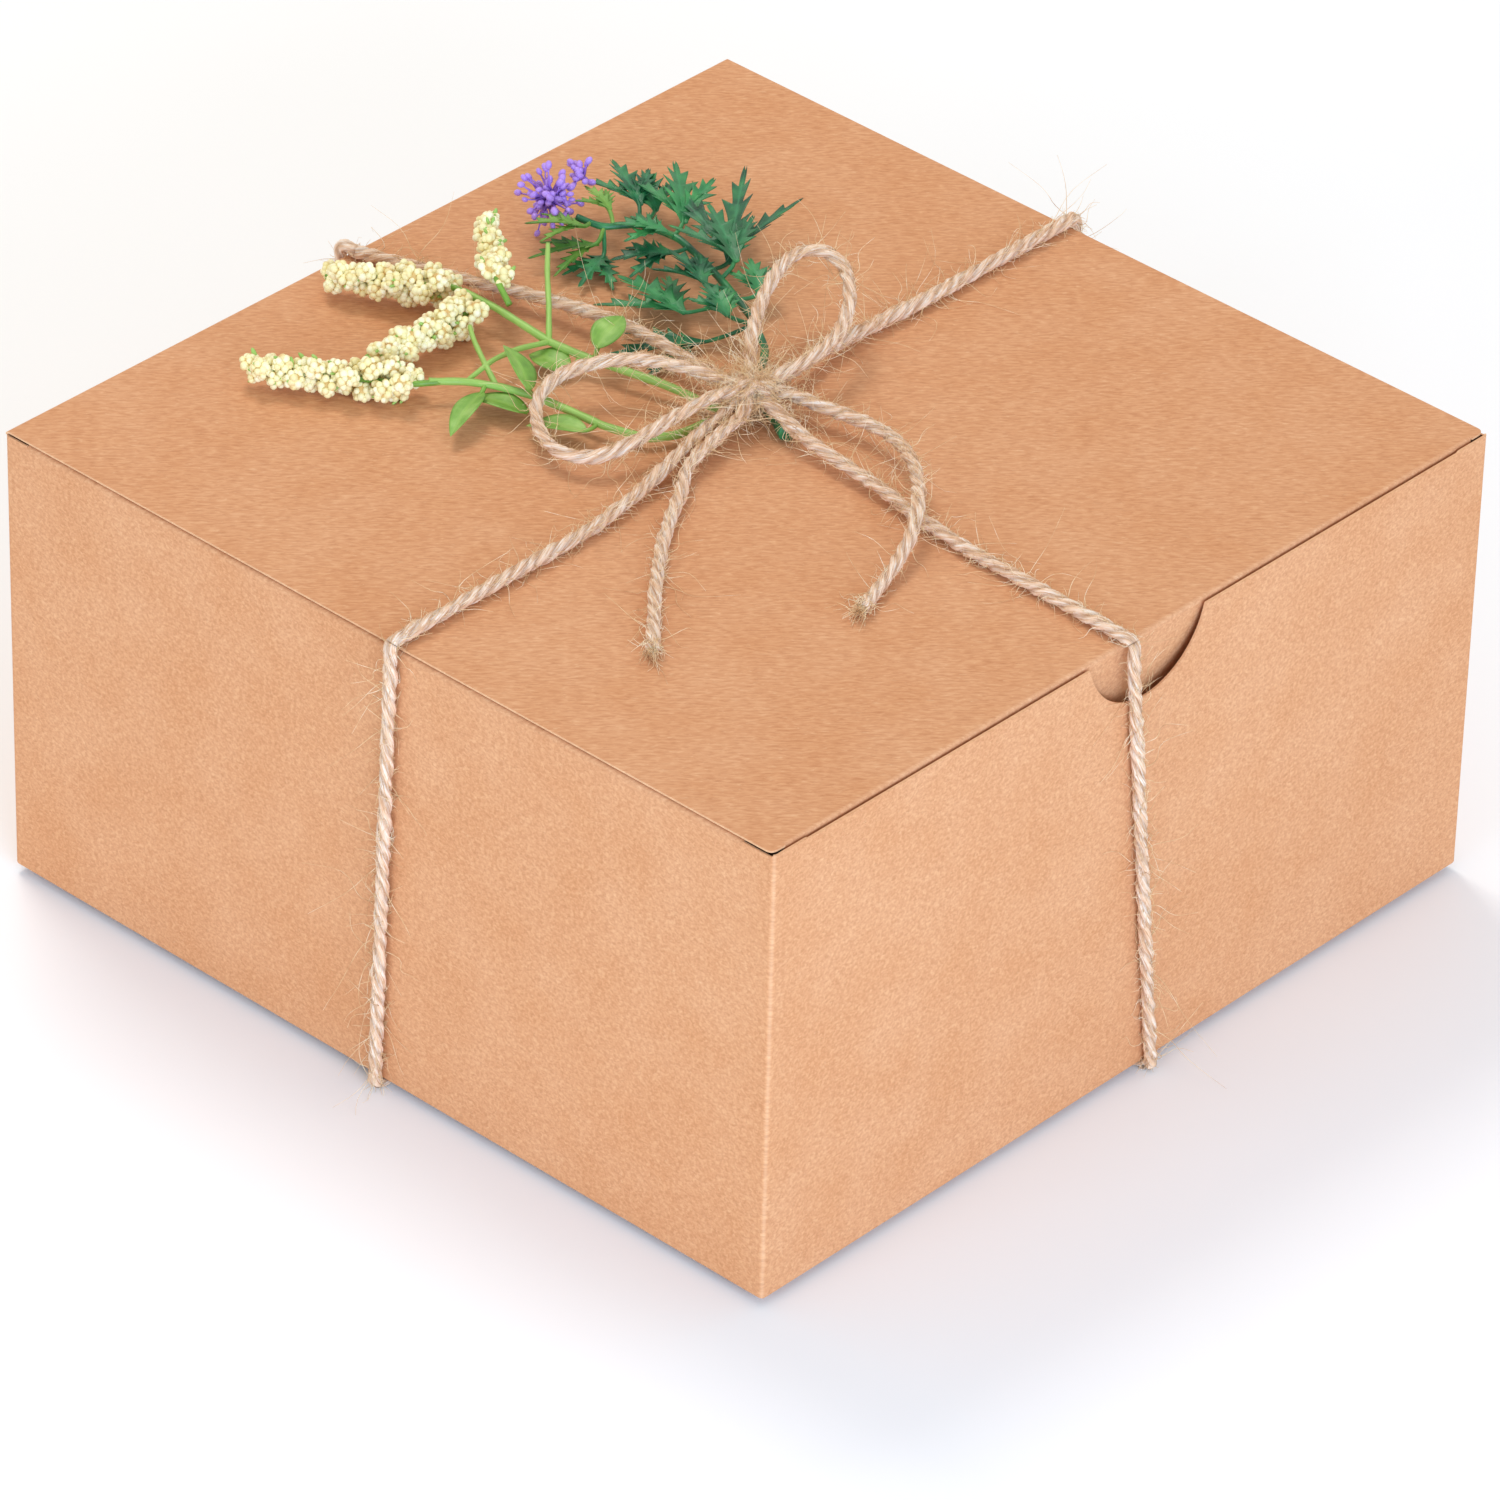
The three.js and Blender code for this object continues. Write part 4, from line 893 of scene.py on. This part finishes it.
# ---- Cream sprig ----
# A moulded plastic sprig: thin light green stems with oval leaves, and spikes of small cream
# blossoms that are clusters of beads. Places are [x, y, height over the lid].
CREAM_ROOT = [1.2, 4.4, 1.5]
CREAM_FORK = [-30.6, 46.6, 4.2]
CREAM_BRANCHES = (  # the points of each stem and its radius
    ([CREAM_ROOT, [-3.8, 6, 1.6], [-12.7, 6.6, 1.9], [-18.6, 9.6, 2.2], [-21.9, 17.9, 2.9],
      [-23, 26.2, 3.3], [-24.6, 34, 3.8], [-27.4, 41.5, 4], CREAM_FORK, [-36, 51.5, 4.4]], 0.9),
    ([CREAM_ROOT, [-1, 8.6, 1.9], [-2.1, 15.4, 2.8], [-3.4, 20.8, 3.4], [-5.7, 28.8, 3.8],
      [-7.8, 38.2, 4], [-9.1, 45.1, 4.5], [-8.9, 52, 5], [-8.6, 60.2, 5.5], [-9.4, 68.4, 6]], 0.9),
    ([[-27.4, 41.5, 4], [-24, 48, 4.8], [-20, 55, 5.4], [-17.4, 58.6, 5.8]], 0.6),
    ([[-9.1, 45.1, 4.5], [-16, 47.2, 4.9], [-22.2, 47.6, 5], CREAM_FORK], 0.6),
    ([[-9.1, 45.1, 4.5], [-3, 51.1, 8], [3.4, 57.8, 10], [9.4, 63.4, 11]], 0.62),
)


def moulded_group():
    """The uneven colour of moulded leaves: blotches and fine veins along the piece, from 0 to 1."""
    group, given = new_group("moulded_leaf", ["Place", "Leaf"], ["Blotches", "Veins"])
    veins = noise(group, given["Leaf"], 1.0, 2.0, (3, 26, 1), (0, 0, 0), 0.4)
    results = {"Blotches": noise(group, given["Place"], 190.0, 3.0), "Veins": veins}
    put(group, "NodeGroupOutput", results)
    return group


moulded_leaf = moulded_group()


def leaf_material(name, dark, middle, light, rib, roughness):
    """Soft moulded plastic: blotched green, with the colour of the rib along the middle."""
    material, tree, shader, where = new_material(name, roughness, Specular_IOR_Level=0.45)
    mark = put(tree, "ShaderNodeUVMap", uv_map="place").outputs[0]
    mould = put(tree, "ShaderNodeGroup", node_tree=moulded_leaf)
    tree.links.new(where, mould.inputs["Place"])
    tree.links.new(mark, mould.inputs["Leaf"])
    stops = [(0.3, shade(dark)), (0.5, shade(middle)), (0.72, shade(light))]
    tone = ramp(tree, mould.outputs["Blotches"], stops)
    near_rib = number(tree, "rib")
    pale = number(tree, "pale")
    ribbed = blended(tree, near_rib, tone, shade(rib))
    veined = blended(tree, mould.outputs["Veins"], shade("c9c9c9"), shade("ffffff"))
    toned = blended(tree, 1.0, ribbed, veined, "MULTIPLY")
    tree.links.new(blended(tree, pale, toned, shade(light)), shader.inputs["Base Color"])
    bump(tree, shader, mould.outputs["Veins"], 0.3, 0.0002)
    return material


lime = leaf_material("lime_leaf", "5f8f2c", "7fb53c", "b4d873", "9ecb55", 0.42)


def joined(parts):
    """Several shapes as one: their points, faces and corner marks, and a value for each point."""
    points, faces, marks, values, before = [], {}, {}, [], 0
    for part_points, part_faces, part_marks, value in parts:
        start = 0
        for face in part_faces:
            size = face.shape[1]
            faces.setdefault(size, []).append(face + before)
            marks.setdefault(size, []).append(part_marks[start : start + face.size])
            start += face.size
        points.append(part_points)
        values.append(np.broadcast_to(value, len(part_points)))
        before += len(part_points)
    together = [np.concatenate(faces[size]) for size in faces]
    mark = np.concatenate([np.concatenate(marks[size]) for size in faces])
    return np.vstack(points), together, mark, np.concatenate(values)


def above_lid(place):
    """A place, or several, with the height over the lid made the height over the floor."""
    return np.array(place, float) + [0, 0, lid_top]


def stem(points, radius, sides, seed, stub=0.0):
    """A stem: a ridged round section on an eased route, thicker at its joints and at a cut stub."""
    route = eased(above_lid(points), 0.6, 6)
    run = run_of(route)
    swell = 1 + 0.08 * slow_waves(run, seed, (5.0, 9.0, 23.0)) - 0.18 * run / run[-1]
    swell = swell + stub * np.exp(-((run / 4) ** 2))
    radii = radius * swell[:, None] * (1 + 0.07 * np.cos(5 * circle(sides)))
    points, faces, marks = tube_skin(carried(route, np.array([0.05, 0.08, 1.0]), radii))
    place = np.stack([run[marks[:, 0]] / 10, marks[:, 1] / sides], -1)
    return points, faces, place, 0.4


parts = [stem(points, radius, 10, 300 + i) for i, (points, radius) in enumerate(CREAM_BRANCHES)]
points, faces, marks, values = joined(parts)
stems = piece("cream_stems", points, faces, lime, marks, {"rib": 0.55, "pale": values})
fasten(stems, "decoration", "lime_leaf", "cream_sprig_stem")


def blade(foot, tip, width, roll, half_width, arch, fold, rows, teeth=0, lean=0.0, thick=0.35):
    """A leaf from its foot to its tip.

    Point = foot + along * (length * u + lean of the teeth) + across * half width(u) * v
    + normal * (arch * sin(pi u) + fold * |v| * half width), for u along the leaf and v across it.
    """
    foot, tip = above_lid(foot), above_lid(tip)
    length = np.linalg.norm(tip - foot)
    along = (tip - foot) / length
    across = unit(np.cross(along, UP))
    across = across * np.cos(roll) + np.cross(along, across) * np.sin(roll)
    normal = np.cross(across, along)
    u = np.linspace(0, 1, rows)[:, None]
    v = np.linspace(-1, 1, 9)[None]
    wide = width / 2 * half_width(u)
    forward = lean * length * np.mod(u * teeth, 1.0) * v**2 if teeth else 0 * u * v
    lift = arch * np.sin(np.pi * u) + fold * np.abs(v) * wide
    flat = foot + (length * u + forward)[..., None] * along + (wide * v)[..., None] * across
    outer = flat + lift[..., None] * normal
    below = thick * (0.35 + 0.65 * (1 - v**2)) * np.minimum(1, 0.3 + 3 * (1 - u))
    inner = outer - below[..., None] * normal
    points, faces, _ = sheet(outer, inner)
    place = np.stack(np.broadcast_arrays(u, v), -1).reshape(-1, 2)
    marks = np.concatenate([np.tile(place, (2, 1))[face.ravel()] for face in faces])
    rib = np.tile(np.exp(-((v / 0.16) ** 2) + 0 * u).ravel(), 2)
    return points, faces, marks, rib


def stalk(foot, tip, routes, radius, seed):
    """A leaf's stalk: a thin stem from the nearest point of the stems to a little way up the leaf."""
    foot, tip = np.array(foot, float), np.array(tip, float)
    joints = np.vstack([even(route, 1.0) for route in routes])
    nearest = joints[np.argmin(np.linalg.norm(joints - foot, axis=1))]
    if np.linalg.norm(nearest - foot) < 1.5:
        nearest = nearest - 1.2 * unit(tip - foot)
    bow = (nearest + foot) / 2 - [0, 0, 0.3]
    return stem([nearest, bow, foot, foot + 0.3 * (tip - foot)], radius, 6, seed)


def oval(u):
    """Half width of an oval leaf at share u: full below the middle, with a pointed tip."""
    return np.maximum(np.sin(np.pi * u**0.8) ** 0.8 * 1.05, 0.03)


OVAL_LEAVES = [  # foot, tip, width and roll
    ([-26.6, 33.4, 6.2], [-22.6, 44.4, 10], 6, 0.5), ([-6.8, 34.6, 6.6], [4, 37.6, 8], 6, 0.1),
    ([-30.4, 42.4, 3.6], [-45.5, 36.2, 3], 5, 0.2), ([-28.6, 32, 2.6], [-31.6, 45, 1.6], 6, 0.1),
    ([-11.4, 37.4, 2.2], [-12.2, 47.4, 2], 6.5, -0.1), ([-26, 18.4, 3.4], [-31.6, 29.4, 2.2], 6.5, 0.1),
]
for i, (foot, tip, width, roll) in enumerate(OVAL_LEAVES):
    routes = [points for points, _ in CREAM_BRANCHES]
    parts = [blade(foot, tip, width, roll, oval, 0.9, 0.22, 19), stalk(foot, tip, routes, 0.5, 320 + i)]
    points, faces, marks, rib = joined(parts)
    made = piece("oval_leaf_%d" % (i + 1), points, faces, lime, marks, {"rib": 0.8 * rib, "pale": 0.1})
    fasten(made, "decoration", "lime_leaf", "cream_leaf_%d" % (i + 1))


def blossom_material():
    """Cream beads: pale yellow, some of them greenish or brushed with tan; the low end of the tint is a
    darker tan, painted shade for the beads deep in a clump.
    """
    material, tree, shader, where = new_material("cream_blossom", 0.5, Specular_IOR_Level=0.4)
    tint = number(tree, "tint")
    spots = noise(tree, where, 420.0, 2.0)
    stops = [(0.1, shade("d3a45c")), (0.45, shade("edd995"))]
    stops += [(0.7, shade("f7ebb0")), (1.0, shade("fcf4cb"))]
    base = ramp(tree, tint, stops)
    tan = ramp(tree, spots, [(0.6, (0, 0, 0, 1)), (0.76, (1, 1, 1, 1))])
    brushed = blended(tree, part_of(tree, tan, 0.6), base, shade("d79a4c"))
    tree.links.new(brushed, shader.inputs["Base Color"])
    bump(tree, shader, noise(tree, where, 2500.0, 2.0), 0.25, 0.0002)
    return material


cream = blossom_material()


def beads(middles, sizes, ways=None, long=1.0):
    """Low round beads: circles of eight points between two poles, stretched along their own way."""
    count, rings, around = len(middles), 4, 8
    lat = np.pi * (np.arange(rings) + 1) / (rings + 1)
    way = np.broadcast_to(UP, middles.shape) if ways is None else unit(ways)
    side = unit(np.cross(way, np.array([0.31, 0.85, 0.42])))
    outward = spokes(circle(around), side, np.cross(way, side))[:, None]
    lat = lat[:, None, None]
    ringed = np.sin(lat) * outward - long * np.cos(lat) * way[:, None, None]
    size = sizes[:, None]
    body = middles[:, None] + size[..., None] * ringed.reshape(count, -1, 3)
    poles = middles[:, None] + size[..., None] * np.stack([-long * way, long * way], 1)
    points = np.concatenate([body, poles], axis=1)
    ring, place = band(rings, around)
    quads = ring * around + place % around
    a, b, last = np.arange(around), (np.arange(around) + 1) % around, (rings - 1) * around
    low = np.stack([np.full(around, rings * around), b, a], -1)
    high = np.stack([np.full(around, rings * around + 1), last + a, last + b], -1)
    each = (np.arange(count) * (rings * around + 2))[:, None, None]
    faces = [(quads + each).reshape(-1, 4), (low + each).reshape(-1, 3), (high + each).reshape(-1, 3)]
    return points.reshape(-1, 3), faces, rings * around + 2


SPIKES = {  # where it joins a stem, its foot and its tip, how far its clumps spread, and their number
    "left": ([-34.4, 50, 4.3], [-38.4, 53, 4.2], [-57.6, 80.2, 4.2], 5.6, 25),
    "middle": ([-9, 61.6, 5.5], [-12.2, 62.8, 5.2], [-37, 63.6, 5.2], 5.2, 22),
    "rear": ([-9.2, 67, 5.9], [-9.6, 71.4, 6], [-22.6, 93.4, 4.6], 5.2, 22),
    "upright": ([-7.6, 57.4, 7], [-6, 62.6, 10], [9, 80, 10.5], 3.0, 14),
}
SPIRAL = 2.4  # each clump, and each bead of a clump, is turned this much from the last
PER_CLUMP = 21
sepal_parts = []
for k, (word, (joint, foot, tip, spread, clumps)) in enumerate(SPIKES.items()):
    random = np.random.default_rng(500 + k)
    foot, tip = above_lid(foot), above_lid(tip)
    axis = unit(tip - foot)
    side = unit(np.cross(axis, UP))
    over = np.cross(side, axis)
    share = (np.arange(clumps) + 0.5) / clumps
    turn = SPIRAL * np.arange(clumps) + random.uniform(-0.3, 0.3, clumps)
    off = (0.6 * spread * (1 - 0.55 * share) * random.uniform(0.6, 1.2, clumps))[:, None]
    heart = foot + (tip - foot) * share[:, None]
    heart = heart + off * (np.cos(turn)[:, None] * side + np.sin(turn)[:, None] * over)
    height = 1 - 2 * (np.arange(PER_CLUMP) + 0.5) / PER_CLUMP
    swing = SPIRAL * np.arange(PER_CLUMP) + random.uniform(0, 6, (clumps, 1))
    flat = np.sqrt(1 - height**2)
    shell = np.stack([flat * np.cos(swing), flat * np.sin(swing), height + 0 * swing], -1)
    shell = unit(shell + random.normal(0, 0.16, shell.shape))
    shell = shell * random.uniform(1.6, 2.1, (clumps, PER_CLUMP, 1))
    middles = (heart[:, None] + shell * (1 - 0.25 * share)[:, None, None]).reshape(-1, 3)
    middles[:, 2] = np.maximum(middles[:, 2], lid_top + 1.0)
    sizes = random.uniform(0.62, 0.92, len(middles))
    core_bead = heart.copy()
    core_bead[:, 2] = np.maximum(heart[:, 2], lid_top + 1.9)
    filled = np.concatenate([middles, core_bead])
    points, faces, each = beads(filled, np.concatenate([sizes, 1.7 - 0.4 * share]))
    # The core beads get a low tint, a darker tan: painted shade in the gaps between the outer beads.
    shades_of = np.concatenate([random.uniform(0.35, 1, len(middles)) ** 0.6, np.full(clumps, 0.2)])
    tint = np.repeat(shades_of, each)
    made = piece("cream_blossom_" + word + "_beads", points, faces, cream, None, {"tint": tint})
    fasten(made, "decoration", "cream_blossom", "cream_blossom_" + word)
    core = eased([above_lid(joint), foot, (foot + tip) / 2, tip], 0.7, 4)
    sepal_parts.append((core, random.uniform(0, 1, (2 * clumps, 3)), heart, axis))

tubes, tips, ways, sizes = [], [], [], []
for core, draws, heart, axis in sepal_parts:
    radii = np.full((len(core), 8), 0.68) * np.linspace(1, 0.5, len(core))[:, None]
    points, faces, marks = tube_skin(carried(core, np.array([0.05, 0.08, 1.0]), radii))
    tubes.append((points, faces, marks / 8.0, 0.0))
    near = np.repeat(heart, 2, axis=0)
    tips.append(near + 2.0 * (draws - 0.5) * 1.5)
    ways.append(unit(draws - 0.5 + 0.6 * axis))
    sizes.append(0.3 + 0.2 * draws[:, 0])
points, faces, each = beads(np.concatenate(tips), np.concatenate(sizes), np.concatenate(ways), 2.6)
corners = sum(face.size for face in faces)
tubes.append((points, faces, np.zeros((corners, 2)), 0.5))
points, faces, marks, values = joined(tubes)
sepals = piece("cream_sepals", points, faces, lime, marks, {"rib": 0.3, "pale": values})
fasten(sepals, "decoration", "lime_leaf")


# ---- Dark sprig ----
# A second moulded sprig: a stout dark green stem with sharply toothed leaves, the youngest ones
# yellow green, and a round lavender flower of many thin filaments at its tip.
DARK_STEM = [[2.6, -8, 2.3], [4.4, -2.7, 2.0], [7.4, 4.7, 1.6], [13, 9.4, 2.6], [19.7, 14, 4]]
DARK_STEM += [[26.1, 24.3, 4.5], [29.5, 32.9, 5], [33.7, 43.6, 5], [36, 53, 5.5], [34, 61.5, 6]]
DARK_STEM += [[27.5, 66, 6], [25.6, 71.2, 7]]
dark_green = leaf_material("dark_leaf", "104a2b", "1f7243", "52ad5e", "46a06a", 0.3)
fresh_green = leaf_material("fresh_leaf", "3f7a2a", "5f9a35", "98bf52", "8fbf55", 0.42)
points, faces, marks, _ = stem(DARK_STEM, 0.85, 12, 401, 1.4)
made = piece("dark_stem", points, faces, dark_green, marks, {"rib": 0.15, "pale": 0.0})
fasten(made, "decoration", "dark_leaf", "dark_sprig_stem")

TEETH = 5


def toothed(u):
    """Half width of a toothed leaf: a long oval whose edge climbs to each tooth and drops back."""
    climb = np.mod(u * TEETH, 1.0)
    envelope = np.sin(np.pi * np.clip(0.12 + 0.88 * u, 0, 1) ** 0.85)
    return np.maximum(envelope * (0.42 + 0.98 * climb**1.5), 0.03)


TOOTHED_LEAVES = [  # foot, tip, width and roll
    ([38.2, 65.6, 6.8], [45, 80, 8], 6.5, 0.2), ([40.4, 63.4, 5.4], [48.6, 73.6, 7], 6, -0.1),
    ([39.8, 55.2, 6.4], [52, 69.4, 9], 8, 0.3), ([36.2, 39.4, 5.4], [60.4, 57.8, 9], 7, -0.3),
    ([34.6, 36, 8], [44.4, 53, 9.6], 7, 0.1), ([33.4, 53.6, 7.8], [26.6, 61.6, 9], 7, 0.1),
    ([31.8, 50.6, 5], [22.4, 58, 4], 7, 0), ([23.4, 66.6, 7.8], [15, 74.6, 8.5], 5, 0.2),
    ([31.8, 67.6, 7.6], [33, 76, 8.8], 4, 0.1), ([24.8, 64.2, 4], [12.6, 71.2, 3], 5, 0.1),
    ([25.2, 62.8, 1.8], [13.4, 58.4, 1.6], 6, 0), ([17.4, 33.8, 4.4], [19.8, 54, 3], 8.4, 0.1),
    ([24.8, 35.2, 7.4], [27.4, 47.4, 8.6], 7.4, 0.3), ([19.6, 24.2, 7], [22.6, 33.6, 9], 7.6, 0.1),
    ([32.4, 27.4, 5], [38.2, 35.8, 7], 6.4, 0.1), ([16.2, 26.6, 1.6], [-1, 36.8, 1.5], 6, 0),
]
FRESH = (7, 8, 9)  # the youngest leaves, next to the flower
for i, (foot, tip, width, roll) in enumerate(TOOTHED_LEAVES):
    rows = 8 * TEETH + 1
    foot, tip = np.array(foot, float), np.array(tip, float)
    parts = [blade(foot, tip, 0.9 * width, roll, toothed, 0.8, 0.3, rows, TEETH, 0.08),
             stalk(foot, tip, [DARK_STEM], 0.5, 420 + i)]
    for swing, share, drop in ((0.62, 0.8, 0.8), (-0.58, 0.72, 0.5)):
        cosine, sine = np.cos(swing), np.sin(swing)
        turn = np.array([[cosine, -sine, 0], [sine, cosine, 0], [0, 0, 1]])
        low = foot + 0.12 * (tip - foot)
        end = low + share * turn @ (tip - foot)
        end[2] = max(end[2] - drop, 0.8)
        parts.append(blade(low, end, 0.68 * width, roll, toothed, 0.6, 0.3, rows, TEETH, 0.08))
    points, faces, marks, rib = joined(parts)
    finish = fresh_green if i in FRESH else dark_green
    values = {"rib": 0.6 * rib, "pale": 0.3 * (i % 3) / 2}
    made = piece("toothed_leaf_%d" % (i + 1), points, faces, finish, marks, values)
    fasten(made, "decoration", "dark_leaf", "dark_leaf_%d" % (i + 1))


def lavender_material():
    """Soft lavender plastic: violet filaments with paler tips."""
    material, tree, shader, where = new_material("lavender", 0.4, Specular_IOR_Level=0.5)
    tint = number(tree, "tint")
    stops = [(0.0, shade("6a3aa0")), (0.5, shade("9a68cc")), (1.0, shade("cfa8ec"))]
    tone = noise(tree, where, 500.0, 2.0)
    colour = blended(tree, tone, ramp(tree, tint, stops), shade("a97bd8"))
    tree.links.new(colour, shader.inputs["Base Color"])
    bump(tree, shader, tone, 0.2, 0.0002)
    return material


violet = lavender_material()
random = np.random.default_rng(600)
flower_low, flower_high = (np.array(corner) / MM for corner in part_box("lavender_head"))
flower = (flower_low + flower_high) / 2
FLOWER, BUD = ([-0.6, -0.6, 0], 66, 6.0), ([8, -1.2, 1.5], 22, 3.4)  # offset, filaments and reach
STATIONS = 7  # rings of a filament


def unmarked(faces):
    """Marks of nothing, for faces without a pattern of their own."""
    return np.zeros((sum(face.size for face in faces), 2))


parts = []
for offset, count, reach in (FLOWER, BUD):
    middle = flower + offset
    ways = unit(random.normal(size=(count, 3)) + [-0.2, 0.1, 0.3])
    lengths = reach * random.uniform(0.62, 1.0, count)
    roots = np.repeat(middle[None], count, 0)
    points, faces = whiskers(roots, ways, 0.8 * lengths, 0.5, 601, STATIONS)
    ends = points.reshape(count, STATIONS, 3, 3).mean(2)[:, -1]
    points[:, 2] = np.maximum(points[:, 2], lid_top + 0.4)
    shares = np.tile(np.repeat(np.linspace(0, 0.7, STATIONS), 3), count)
    parts.append((points, faces, unmarked(faces), shares))
    ends[:, 2] = np.maximum(ends[:, 2], lid_top + 1.0)
    points, faces, _ = beads(ends, random.uniform(0.5, 0.8, count), ways, 1.4)
    parts.append((points, faces, unmarked(faces), 0.85))
points, faces, _, tint = joined(parts)
made = piece("lavender_flower", points, faces, violet, None, {"tint": tint})
fasten(made, "decoration", "lavender", "lavender_head")


# ---- Floor and light ----
# A plain pale floor under soft light: a small warm lamp above and behind, and two wide cool ones,
# in front and to the left, that brighten the walls.
FLOOR = 6.0
floor_material, tree, shader, where = new_material("floor", 0.9)
pale = ramp(tree, noise(tree, where, 3.0), [(0.3, shade("f8f7f5")), (0.7, shade("fbfaf8"))])
tree.links.new(pale, shader.inputs["Base Color"])
mesh = bpy.data.meshes.new("floor")
corners = [(-FLOOR, -FLOOR, 0), (FLOOR, -FLOOR, 0), (FLOOR, FLOOR, 0), (-FLOOR, FLOOR, 0)]
mesh.from_pydata(corners, [], [(0, 1, 2, 3)])
mesh.materials.append(floor_material)
floor = bpy.data.objects.new("floor", mesh)
bpy.context.scene.collection.objects.link(floor)

world = bpy.data.worlds.new("studio")
world.use_nodes = True
background = world.node_tree.nodes["Background"]
background.inputs["Color"].default_value = (1, 1, 1, 1)
background.inputs["Strength"].default_value = 0.7
bpy.context.scene.world = world
bpy.context.scene.view_settings.view_transform = "Standard"


def lamp(name, place, power, size, tint):
    """A square soft lamp that faces the middle of the box."""
    light = bpy.data.lights.new(name, "AREA")
    light.energy = power
    light.color = tint
    light.size = size
    made = bpy.data.objects.new(name, light)
    made.location = place
    made.rotation_euler = (Vector((0, 0, 0.08)) - Vector(place)).to_track_quat("-Z", "Y").to_euler()
    bpy.context.scene.collection.objects.link(made)


lamp("lamp_above", (0.25, 0.75, 1.5), 8.5, 0.5, (1.0, 0.95, 0.88))
lamp("lamp_front", (-0.75, -1.5, 0.45), 17.0, 1.0, (0.83, 1.16, 1.66))
lamp("lamp_left", (-1.7, -0.1, 0.45), 6.5, 1.0, (0.78, 1.05, 1.4))
